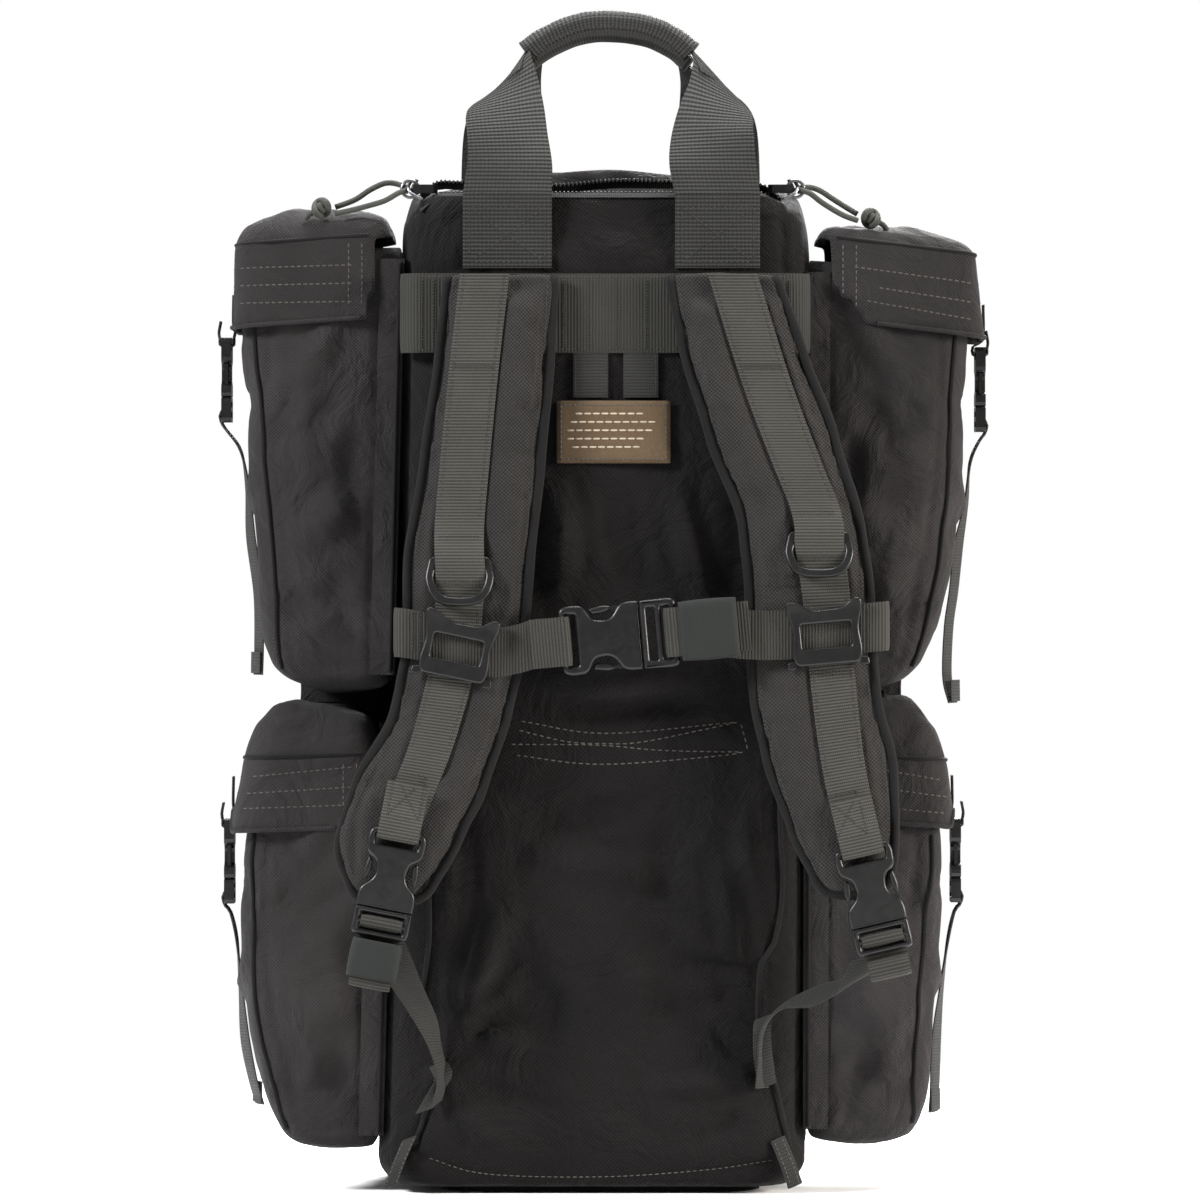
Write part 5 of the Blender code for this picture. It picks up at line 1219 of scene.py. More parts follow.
def build_lid(name, plan):
    side, (hem, fold, brow, crown) = plan["side"], plan["lid"]
    rows = []
    for k in range(8):
        t = k / 7
        z = hem[0] + (fold[0] - 0.0016 - hem[0]) * t
        rows.append(lid_row(plan, z, hem[1] + (fold[1] - hem[1]) * t, 0.0, 0.0))
    rows.append(lid_row(plan, fold[0], fold[1] - 0.0006, 0.0008, 0.0))
    for t in (0.16, 0.40, 0.70, 1.0):
        rows.append(lid_row(plan, fold[0] + (brow[0] - fold[0]) * math.sin(t * math.pi / 2),
                            fold[1] + (brow[1] - fold[1]) * t, brow[2] * t, 0.32 * t))
    for t in (0.35, 0.70, 1.0):
        rows.append(lid_row(plan, brow[0] + (crown[0] - brow[0]) * math.sin(t * math.pi / 2),
                            brow[1] + (crown[1] - brow[1]) * t,
                            brow[2] + (crown[2] - brow[2]) * t, 0.32 + 0.68 * t))
    rows.append([p.lerp(sum(rows[-1], Vector()) / len(rows[-1]), 0.5) + Vector((0, 0, 0.0006))
                 for p in rows[-1]])
    bm = loft(rows, low_cap=False)
    edge = plan["edge"]
    table = sorted(edge)
    doomed = []
    for face in bm.faces:
        c = face.calc_center_median()
        line = float(at(table, c.z)[0])
        top = fold[0] - plan["fall"] * (abs(c.x) - hinge_out(plan)) - 0.002
        if c.z < top and abs(c.x) < line:
            doomed.append(face)
    bmesh.ops.delete(bm, geom=doomed, context="FACES")
    made = link("lid_cloth_" + name, from_bmesh(bm, name), POUCH)
    finer(made)
    rumple(made, 0.0008, 30.0, plan["seed"] + 7.0, (1.0, 1.0, 0.8))
    front = POUCH_FRONT - LID_STANDOFF
    pin = hinge_out(plan)
    crown_z = crown[0] - plan["fall"] * (0.165 - pin)
    for path, width, depth in (
            ([(side * 0.150, -0.060, crown_z), (side * 0.168, -0.030, crown_z),
              (side * 0.160, 0.010, crown_z)], 0.016, 0.0022),
            ([(side * 0.196, front + 0.006, fold[0] + 0.003), (side * 0.188, -0.060, crown_z),
              (side * 0.182, -0.020, crown_z)], 0.012, -0.0020),
            ([(side * 0.160, front + 0.004, fold[0] + 0.004), (side * 0.152, -0.062, crown_z),
              (side * 0.150, -0.030, crown_z)], 0.012, 0.0020)):
        crease(made, path, width, depth, 0.35)
    thickened(made, 0.0022)
    body = "lid_" + name
    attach(made, body)
    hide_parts("lid_" + name)

    def round_it(p):
        return math.atan2(p.y + 0.020, side * p.x - 0.150)

    hem_row = sorted((p for p in rows[0] if abs(p.x) > edge[-1][1] - 0.001), key=round_it)
    bind = [Vector((p.x, p.y, p.z + 0.0012)) for p in hem_row[::3] + hem_row[-1:]]
    binding, _ = rope("lid_binding_" + name, bind, 0.0014, POUCH, body, step=0.003, sides=10)
    fold_row = sorted((p for p in rows[8] if abs(p.x) > edge[0][1] + 0.001), key=round_it)
    cord, _ = rope("lid_fold_" + name, fold_row[::3] + fold_row[-1:], 0.0013, TRIM, body,
                   step=0.003, sides=8)
    for x_a, z_a, x_b, z_b in plan["rows"]:
        Sewing.run(made, [(side * x_a, front, z_a), (side * x_b, front, z_b)], body,
                   THREAD, reach=0.010, width=0.0008)
        Sewing.run(made, [(side * x_b, front + 0.018, z_b), (side * x_b, 0.030, z_b + 0.001)],
                   body, reach=0.016, width=0.00065, toward=(-side, 0, 0))
    for shift in (0.004, 0.012):
        x = side * (edge[0][1] + 0.003 + shift)
        Sewing.run(made, [(x, front, fold[0] - 0.006), (x, front, edge[-1][0] + 0.010)],
                   body, THREAD, reach=0.010, width=0.0007)

    top, out = buckle_top(plan), plan["buckle"]
    layer = 0.0043
    skirt, low = hem[1] - 0.001, buckle_top(plan) + BUCKLE_DROP
    path = [(skirt + 0.0020, low + 0.0220), (skirt + 0.0022, low + 0.0050),
            (skirt + 0.0010, low - 0.0003), (out - layer, top + 0.0004),
            (out - layer, top - 0.0040), (out - layer * 0.55, top - 0.0055),
            (out + layer * 0.55, top - 0.0055), (out + layer, top - 0.0042),
            (out + layer, top - 0.0008), (out + layer + 0.0006, top + 0.0030),
            (out + layer - 0.0006, top + 0.0100)]
    loop = band("lid_strap_" + name, [(side * x, STRAP_Y, z) for x, z in path],
                [(0, STRAP_HALF, 0)] * len(path), WEB_DARK_AND_SHADE, body, 0.0013, 0.002, 6)


def build_tail(name, plan):
    side, out, top = plan["side"], plan["buckle"], buckle_top(plan)
    foot = top - 0.0360 - 0.0150 - 3 * GAP
    body = "strap_" + name
    bar = foot + 0.0042
    path = [(out + 0.0018, bar + 0.0050), (out + 0.0042, bar), (out + 0.0024, foot - 0.0012),
            (out - 0.0006, foot - 0.0052)] + plan["tail"]
    turned = [(0, STRAP_HALF, 0)] * 4 + [(side * 0.0030 * min(1.0, k / 2), STRAP_HALF * 0.95, 0)
                                         for k in range(len(plan["tail"]))]
    tail = band("tail_" + name, [(side * x, STRAP_Y, z) for x, z in path], turned, WEB_DARK_AND_SHADE,
                body, 0.0017, 0.003, 6)
    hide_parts("pouch_" + name + "_tail")
    end_x, end_z = plan["tail"][-1]
    fold = band("tail_hem_" + name, [(side * (end_x + 0.0014), STRAP_Y, end_z + 0.014),
                                     (side * (end_x + 0.0016), STRAP_Y, end_z + 0.001)],
                [(side * 0.0030, STRAP_HALF * 0.95, 0)] * 2, WEB_DARK_AND_SHADE, body, 0.0014, 0.003, 6)


def pouch_backing(side):
    """The cloth panel that both pouches of a side are sewn to."""
    outline = [(side * (wall_x(side, 0.26) - 0.004), 0.264), (side * 0.176, 0.266),
               (side * 0.1865, 0.286), (side * 0.1850, 0.304), (side * 0.1880, 0.324),
               (side * 0.176, 0.340), (side * (wall_x(side, 0.34) - 0.004), 0.342)]
    made = plate("pouch_backing_" + ("left" if side < 0 else "right"), [rounded(outline, 0.010)],
                 0.0030, 0.0008, Matrix.Translation((0, 0.0520, 0)), POUCH, "root")


for name, plan in POUCHES.items():
    build_pouch(name, plan)
    build_lid(name, plan)
    build_tail(name, plan)
for side in (-1, 1):
    pouch_backing(side)


# ================================================================ carry handle
GRIP_SIDES, GRIP_POWER = 28, 2.6


def grip_sleeve(name, points, half_up, half_deep, look, body):
    """A flattened sleeve round the handle's webbing."""
    fine = [Vector(p) for p in catmull(points, 0.0022)]
    bm = bmesh.new()
    uv = bm.loops.layers.uv.new("UVMap")
    rows, run = [], 0.0
    for index, here in enumerate(fine):
        along = (fine[min(index + 1, len(fine) - 1)] - fine[max(index - 1, 0)]).normalized()
        up = Vector((0, 1, 0)).cross(along).normalized() * -1
        if index:
            run += (here - fine[index - 1]).length
        t = index / (len(fine) - 1)
        mouth = 1.0 + 0.10 * (abs(2 * t - 1)) ** 6
        row = []
        for k in range(GRIP_SIDES):
            angle = 2 * math.pi * k / GRIP_SIDES
            c, s = math.cos(angle), math.sin(angle)
            bulge = (abs(c) ** GRIP_POWER + abs(s) ** GRIP_POWER) ** (-1 / GRIP_POWER)
            groove = 1.0 - 0.10 * math.exp(-((angle - math.pi * 0.98) / 0.10) ** 2)
            ripple = 1.0 + 0.012 * math.sin(run * 410 + angle * 2) + 0.02 * math.sin(run * 90)
            row.append((bm.verts.new(here + up * half_up * s * bulge * mouth * ripple
                                     + Vector((0, 1, 0)) * half_deep * c * bulge * groove),
                        run, angle * (half_up + half_deep) / 2))
        rows.append(row)
    skin(bm, uv, rows, GRIP_SIDES, 2 * math.pi * (half_up + half_deep) / 2)
    for row in (rows[0], rows[-1]):
        bm.faces.new([v[0] for v in row])
    bmesh.ops.recalc_face_normals(bm, faces=bm.faces)
    return link(name, from_bmesh(bm, name), look, body)


def build_handle():
    legs = {
        "front_left": ([(-0.0562, -0.1028, 0.600), (-0.0548, -0.0990, 0.618),
                        (-0.0562, -0.0925, 0.636), (-0.0578, -0.0850, 0.650),
                        (-0.0578, -0.0770, 0.662), (-0.0535, -0.0690, 0.675),
                        (-0.0455, -0.0620, 0.6865)],
                       [(0.0267, 0, 0), (0.0255, 0.001, 0), (0.0240, 0.003, 0.001),
                        (0.0235, 0.004, 0.003), (0.0200, 0.006, 0.008), (0.0110, 0.007, 0.012),
                        (0.0030, 0.008, 0.009)]),
        "front_right": ([(0.0699, -0.1028, 0.600), (0.0672, -0.0990, 0.618),
                         (0.0668, -0.0925, 0.636), (0.0690, -0.0850, 0.650),
                         (0.0700, -0.0770, 0.662), (0.0665, -0.0690, 0.675),
                         (0.0560, -0.0620, 0.6850)],
                        [(0.0255, 0, 0), (0.0262, -0.001, 0), (0.0245, -0.003, 0.001),
                         (0.0220, -0.004, -0.003), (0.0165, -0.006, -0.008),
                         (0.0105, -0.007, -0.011), (0.0040, -0.008, -0.009)]),
        "rear_left": ([(-0.0600, 0.1052, 0.600), (-0.0610, 0.0980, 0.623), (-0.0600, 0.0620, 0.652),
                       (-0.0560, 0.0200, 0.668), (-0.0470, -0.0160, 0.678),
                       (-0.0400, -0.0310, 0.6860)],
                      [(0.0262, 0, 0), (0.0260, 0, 0), (0.0240, 0.002, 0.002),
                       (0.0190, 0.004, 0.006), (0.0110, 0.0065, 0.008), (0.0040, 0.0075, 0.006)]),
        "rear_right": ([(0.0720, 0.1052, 0.600), (0.0730, 0.0980, 0.623), (0.0720, 0.0620, 0.652),
                        (0.0680, 0.0200, 0.668), (0.0580, -0.0160, 0.678),
                        (0.0500, -0.0310, 0.6850)],
                       [(0.0262, 0, 0), (0.0260, 0, 0), (0.0240, -0.002, -0.002),
                        (0.0190, -0.004, -0.006), (0.0110, -0.0065, -0.008),
                        (0.0040, -0.0075, -0.006)]),
    }
    for key, (middles, halves) in legs.items():
        leg = band("handle_leg_" + key, middles, halves, WEB_HANDLE, "root", 0.0021, 0.0025, 10)
        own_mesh(leg)
        x, y, _ = middles[0]
        half = halves[0][0]
        sewn = band("handle_sewn_" + key, [(x, y, 0.5555), (x, y, 0.578), (x, y, 0.600)],
                    [(half, 0, 0)] * 3, WEB_HANDLE, "root", 0.0021, 0.003, 10, origin=-0.0445)
        way = (0, 1, 0) if y < 0 else (0, -1, 0)
        corners = [(x - half + 0.004, y, 0.559), (x + half - 0.004, y, 0.559),
                   (x + half - 0.004, y, 0.592), (x - half + 0.004, y, 0.592),
                   (x - half + 0.004, y, 0.559)]
        for a, b in list(zip(corners, corners[1:])) + [(corners[0], corners[2]),
                                                       (corners[1], corners[3])]:
            Sewing.run(sewn, [a, b], pitch=0.0032, length=0.0022, width=0.0007, toward=way)
    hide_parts("handle_loop_harness_side")
    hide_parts("handle_loop_far_side")
    arch = [(-0.0440, -0.0450, 0.6870), (-0.0340, -0.0450, 0.6945), (-0.0160, -0.0450, 0.7028),
            (0.0020, -0.0450, 0.7055), (0.0260, -0.0450, 0.7030), (0.0430, -0.0450, 0.6955),
            (0.0535, -0.0450, 0.6868)]
    grip = grip_sleeve("grip_sleeve", arch, 0.0086, 0.0165, WEB_HANDLE, "grip")
    inner = [(x, -0.0460, z - 0.0060) for x, _, z in arch]
    lining = grip_sleeve("grip_lining", inner, 0.0046, 0.0150, WEB_DARK_AND_SHADE, "grip")
    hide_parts("handle_grip")
    for rise, wide in ((-0.0025, 0.0007), (0.0052, 0.0006)):
        Sewing.run(grip, [(x, -0.07, z + rise) for x, _, z in arch[1:-1]], "grip", pitch=0.0034,
                   width=wide)


build_handle()


# ================================================================ shoulder harness
WEBBING, PAD_THICK = 0.0016, 0.012
SHOULDER_HALF, STERNUM_HALF = 0.0148, 0.0147
PADS = {
    "left": [(0.5525, -0.0924, -0.0270), (0.500, -0.0980, -0.0295), (0.440, -0.1065, -0.0350),
             (0.380, -0.1165, -0.0415), (0.330, -0.1165, -0.0455), (0.290, -0.1235, -0.0545),
             (0.245, -0.1480, -0.0690), (0.210, -0.1580, -0.0860), (0.188, -0.1520, -0.0980),
             (0.174, -0.1400, -0.1120)],
    "right": [(0.5525, 0.0400, 0.1050), (0.506, 0.0486, 0.1212), (0.458, 0.0630, 0.1392),
              (0.404, 0.0834, 0.1554), (0.365, 0.0876, 0.1614), (0.330, 0.0882, 0.1626),
              (0.296, 0.0906, 0.1656), (0.260, 0.0984, 0.1752), (0.218, 0.1134, 0.1764),
              (0.190, 0.1270, 0.1740), (0.178, 0.1380, 0.1640)],
}
STRAP_LINE = {
    "left": [(-0.0696, 0.5515), (-0.0765, 0.490), (-0.0822, 0.430), (-0.0845, 0.402)],
    "right": [(0.0786, 0.5515), (0.0984, 0.488), (0.1164, 0.440), (0.1262, 0.416)],
}
STRAP_BELOW = {
    "left": [(-0.0848, 0.350), (-0.0870, 0.325), (-0.0936, 0.296), (-0.1030, 0.265)],
    "right": [(0.1345, 0.358), (0.1368, 0.325), (0.1410, 0.284), (0.1455, 0.252)],
}
RING_BAR = {"left": (-0.0843, 0.3800), "right": (0.1302, 0.3950)}
BUCKLE_TOP = {"left": (-0.1200, 0.2190, 11.0), "right": (0.1548, 0.2100, -13.0)}
BUCKLE_Y = -0.1425
X_BOX = {"left": (-0.1155, 0.2400), "right": (0.1464, 0.2280)}


def pad_y(z):
    return -0.1105 - 0.0536 * (0.5525 - z)


def buckle_matrix(hand):
    x, z, tilt = BUCKLE_TOP[hand]
    return Matrix.Translation((x, BUCKLE_Y, z)) @ Matrix.Rotation(math.radians(tilt), 4, "Y")


def strap_path(hand):
    lift = PAD_THICK / 2 + GAP + WEBBING / 2
    bar_x, bar_z = RING_BAR[hand]
    hump = lift + 0.0048
    above = [Vector((x, pad_y(z) - lift, z)) for x, z in STRAP_LINE[hand]]
    over = [Vector((bar_x - 0.0003, pad_y(bar_z + 0.007) - hump + 0.0008, bar_z + 0.007)),
            Vector((bar_x, pad_y(bar_z) - hump, bar_z)),
            Vector((bar_x + 0.0003, pad_y(bar_z - 0.007) - hump + 0.0008, bar_z - 0.007))]
    below = [Vector((x, pad_y(z) - lift, z)) for x, z in STRAP_BELOW[hand]]
    where = buckle_matrix(hand)
    back = 0.025 * 0.15 + GAP + WEBBING / 2 + 0.0002
    turned = [where @ Vector((0.0, y, z)) for y, z in (
        (back, 0.008), (back, -0.0010), (back, -0.0042), (back * 0.55, -0.0055),
        (-back * 0.55, -0.0055), (-back, -0.0042), (-back, -0.0010), (-back, 0.0070),
        (-back + 0.0035, 0.0180), (-back + 0.0045, 0.0290))]
    x_axis = (where.to_3x3() @ Vector((1, 0, 0))).normalized()
    level = Vector((1, 0, 0))
    middles = above + over + below + turned
    halves = [level * SHOULDER_HALF] * len(above + over)
    halves += [level.lerp(x_axis, (k + 1) / 5) * (SHOULDER_HALF - 0.0005 * (k + 1))
               for k in range(len(below))]
    halves += [x_axis * 0.0126] * len(turned)
    return middles, halves


def build_pad(hand):
    edges = PADS[hand]
    rows = []
    low, high = edges[-1][0], edges[0][0]
    table = sorted((z, a, b) for z, a, b in edges)
    steps = 64
    for k in range(steps + 1):
        z = low + (high - low) * k / steps
        left, right = (float(v) for v in at(table, z))
        middle = pad_y(z)
        thin = min(1.0, 0.62 + 0.38 * min((z - low) / 0.012, (high - z) / 0.020))
        thick = (PAD_THICK / 2 - 0.0008) * thin
        outline = []
        wide = (right - left) / 2
        for j in range(40):
            angle = 2 * math.pi * j / 40
            c, s = math.cos(angle), math.sin(angle)
            outline.append(Vector(((left + right) / 2 + wide * math.copysign(abs(c) ** 0.42, c),
                                   middle + thick * math.copysign(abs(s) ** 0.62, s), z)))
        rows.append(outline)
    made = link("pad_cloth_" + hand, from_bmesh(loft(rows), hand), PAD)
    voxelled(made, 0.0042)
    puff(made, 4.0, 0.0030, held=lambda p: p[2] > high - 0.006)
    middles, _ = strap_path(hand)
    strap_tree = near_tree(catmull(middles[:11], 0.004))
    finer(made)
    rumple(made, 0.0009, 30.0, 5.0 if hand == "left" else 8.0, (1.0, 1.0, 1.3))
    for share in (0.09, 0.91):
        path = []
        for z in np.linspace(low + 0.016, high - 0.008, 9):
            left, right = (float(v) for v in at(table, z))
            path.append((left + (right - left) * share, pad_y(z) - PAD_THICK / 2, z))
        crease(made, path, 0.0046, 0.0013)
        crease(made, [(x, y + PAD_THICK, z) for x, y, z in path], 0.0046, 0.0012)
    side = -1 if hand == "left" else 1
    for z, tilt, depth in ((0.470, 0.004, 0.0016), (0.445, -0.003, 0.0013), (0.418, 0.005, 0.0016),
                           (0.345, -0.004, 0.0018), (0.303, 0.006, 0.0018), (0.283, -0.003, 0.0014),
                           (0.246, 0.005, 0.0014), (0.520, 0.003, 0.0012)):
        left, right = (float(v) for v in at(table, z))
        for a, b in ((left + 0.004, left + 0.019), (right - 0.019, right - 0.004)):
            crease(made, [(a, pad_y(z) - 0.006, z + tilt), ((a + b) / 2, pad_y(z) - 0.006, z),
                          (b, pad_y(z) - 0.006, z - tilt * side)], 0.0065, depth, 0.35)
    points = coords(made)
    for p in points:
        middle = pad_y(p[2])
        near = strap_tree.find(Vector((p[0], middle - 0.007, p[2])))
        if p[1] < middle and near[2] < SHOULDER_HALF + 0.0037:
            t = max(0.0, (near[2] - SHOULDER_HALF) / 0.0037)
            p[1] = max(p[1], middle - 0.0058 - 0.0020 * t)
        p[1] = min(max(p[1], middle - 0.0092), middle + 0.0060)
        if 0.316 < p[2] < 0.366:      # under the sternum webbing, which wraps the pad
            p[1] = min(max(p[1], middle - 0.0060), middle + 0.0062)
    place(made, points)
    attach(made, "harness")
    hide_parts("shoulder_pad_" + hand)
    for share in (0.055, 0.945):
        path = []
        for z in np.linspace(low + 0.010, high - 0.006, 14):
            left, right = (float(v) for v in at(table, z))
            path.append((left + (right - left) * share, pad_y(z) - 0.02, z))
        Sewing.run(made, [(x + (0.0012 if share < 0.5 else -0.0012), y, z) for x, y, z in path],
                   "harness", pitch=0.0036)
    edge = []
    for z in np.linspace(low + 0.004, high - 0.002, 26):
        left, right = (float(v) for v in at(table, z))
        edge.append((left, right, z))
    outline = ([(left + 0.0008, pad_y(z), z) for left, right, z in reversed(edge)]
               + [(right - 0.0008, pad_y(z), z) for left, right, z in edge])
    trim, _ = rope("pad_binding_" + hand, outline, 0.0030, TRIM, "harness", step=0.005, sides=10)


def build_shoulder_webbing(hand):
    middles, halves = strap_path(hand)
    made = band("strap_webbing_" + hand, middles, halves, WEB, "harness", 0.0016, 0.0025, 8)
    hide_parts("shoulder_webbing_" + hand)
    for sign in (-1, 1):
        for part in (slice(0, 4), slice(7, 11)):    # above and below the ring's bar
            path = [m + h * 0.80 * sign for m, h in zip(middles[part], halves[part])]
            Sewing.run(made, path, "harness", pitch=0.0040, reach=0.010)
    bar_z = RING_BAR[hand][1]
    table = sorted((m.z, m.x) for m in middles[:4] + middles[7:11])
    for z in (bar_z + 0.0125, bar_z + 0.0145, bar_z - 0.0125, bar_z - 0.0145,
              0.4968, 0.4950, 0.312, 0.3140):
        x = float(at(table, z)[0])
        Sewing.run(made, [(x - 0.0125, pad_y(z) - 0.008, z), (x + 0.0125, pad_y(z) - 0.008, z)],
                   "harness", pitch=0.0021, length=0.0016, width=0.0008, reach=0.012)
    x, z = X_BOX[hand]
    lean = Matrix.Rotation(math.radians(BUCKLE_TOP[hand][2]), 3, "Y")
    box = [Vector((x, pad_y(z) - 0.012, z)) + lean @ Vector((a, 0, b))
           for a, b in ((-0.0095, -0.013), (0.0095, -0.013), (0.0095, 0.013), (-0.0095, 0.013))]
    for a, b in ((0, 1), (1, 2), (2, 3), (3, 0), (0, 2), (1, 3)):
        Sewing.run(made, [box[a], box[b]], "harness", pitch=0.0030, length=0.0022,
                   width=0.0008, reach=0.012)


def build_tails():
    front = 0.025 * 0.15 + GAP + WEBBING / 2 + 0.0003
    over_bar = [(0.0034, -0.0470), (0.0030, -0.0500), (0.0, -0.0526), (-front, -0.0540),
                (-front, -0.0575), (0.0, -0.0592), (0.0040, -0.0614), (0.0044, -0.0660)]
    folded = over_bar + [(0.0018, -0.0720), (0.0016, -0.0900), (-0.0010, -0.0948),
                         (-0.0040, -0.0925), (-0.0046, -0.0850), (-0.0046, -0.0700)]
    turns, inner, pitch = 1.75, 0.0022, 0.0027
    outer = inner + pitch * turns
    rolled = list(over_bar)
    centre = (0.0044 - outer, -0.0735)
    for k in range(int(turns * 10) + 1):
        angle = -math.radians(36 * k)
        radius = outer - pitch * k / 10
        rolled.append((centre[0] + radius * math.cos(angle), centre[1] + radius * math.sin(angle)))
    for hand, path in (("left", folded), ("right", rolled)):
        where = buckle_matrix(hand)
        middles = [where @ Vector((0.0, y, z)) for y, z in path]
        axis = where.to_3x3() @ Vector((1, 0, 0))
        tail = band("strap_tail_" + hand, middles, [axis * 0.0125] * len(middles), WEB_STERNUM,
                    "shoulder_release_" + hand, 0.0016, 0.0018, 8)
        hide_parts("shoulder_tail_" + hand)


def build_lower_straps():
    left = [(-0.1290, -0.1300, 0.1540), (-0.1225, -0.1278, 0.1390), (-0.1180, -0.1260, 0.1290),
            (-0.1065, -0.1200, 0.1080), (-0.0990, -0.1140, 0.0880), (-0.0950, -0.1075, 0.0700),
            (-0.0970, -0.1040, 0.0560)]
    left_half = [(0.0122, 0, -0.0020), (0.0120, 0, -0.0024), (0.0116, 0.001, -0.003),
                 (0.0082, 0.005, -0.002), (0.0034, 0.0085, 0), (0.0030, 0.0080, 0.002),
                 (0.0050, 0.0050, 0.004)]
    right = [(0.1610, -0.1300, 0.1440), (0.1560, -0.1290, 0.1350), (0.1480, -0.1270, 0.1270),
             (0.1280, -0.1215, 0.1200), (0.1080, -0.1165, 0.1130), (0.0970, -0.1120, 0.0990),
             (0.0955, -0.1075, 0.0760), (0.0965, -0.1040, 0.0640)]
    right_half = [(0.0120, 0, 0.0028), (0.0114, 0.002, 0.004), (0.0095, 0.004, 0.006),
                  (0.0030, 0.0095, 0.006), (0.0010, 0.0100, 0.001), (0.0012, 0.0095, 0),
                  (0.0020, 0.0085, 0), (0.0040, 0.0060, 0)]
    for hand, middles, halves in (("left", left, left_half), ("right", right, right_half)):
        # the anchor straps take the darker webbing as painted shade: they are the shoulder webbing,
        # drawn darker because they lie in shadow
        made = band("anchor_strap_" + hand, middles, halves, WEB_DARK_AND_SHADE, None, 0.0017, 0.0022, 8)
        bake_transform(made)
        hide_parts("lower_strap_" + hand)
    loops = {"left": [(-0.0975, -0.1020, 0.0780), (-0.0950, -0.1064, 0.0735),
                      (-0.0948, -0.1064, 0.0690), (-0.0990, -0.1030, 0.0620),
                      (-0.1060, -0.1020, 0.0500)],
             "right": [(0.0975, -0.1020, 0.1060), (0.0965, -0.1066, 0.1000),
                       (0.0968, -0.1072, 0.0860), (0.0985, -0.1050, 0.0740),
                       (0.0995, -0.1020, 0.0650)]}
    for hand, path in loops.items():
        made = band("anchor_loop_" + hand, path, [(0.0055, 0, 0.0020)] * len(path), WEB_DARK_AND_SHADE,
                    "root", 0.0014, 0.0025, 6)


def sleeve(name, where, half_x, half_y, start, end, middle, body):
    """A flattened elastic loop round spare strapping, in the buckle's own axes."""
    thick = 0.0012
    bm = bmesh.new()
    uv = bm.loops.layers.uv.new("UVMap")
    rows, count = [], 40
    for z in np.linspace(start, end, 11):
        swell = 0.0006 * math.sin(math.pi * (z - start) / (end - start))
        row = []
        for shift in (0.0, thick):
            for k in range(count):
                angle = 2 * math.pi * k / count
                c, s = math.cos(angle), math.sin(angle)
                px = (half_x - shift + swell) * math.copysign(abs(c) ** 0.35, c)
                py = (half_y - shift + swell) * math.copysign(abs(s) ** 0.55, s) + middle
                row.append((bm.verts.new(where @ Vector((px, py, z))), z, px))
        rows.append(row)
    skin(bm, uv, rows, count, starts=(0, count))
    for row in (rows[0], rows[-1]):
        for k in range(count):
            n = (k + 1) % count
            bm.faces.new((row[k][0], row[n][0], row[count + n][0], row[count + k][0]))
    bmesh.ops.recalc_face_normals(bm, faces=bm.faces)
    return link(name, from_bmesh(bm, name), ELASTIC, body)


def sternum_matrix():
    return (Matrix.Translation((-0.0240, -0.1348, 0.3315))
            @ Matrix.Rotation(-math.radians(95), 4, "Y"))


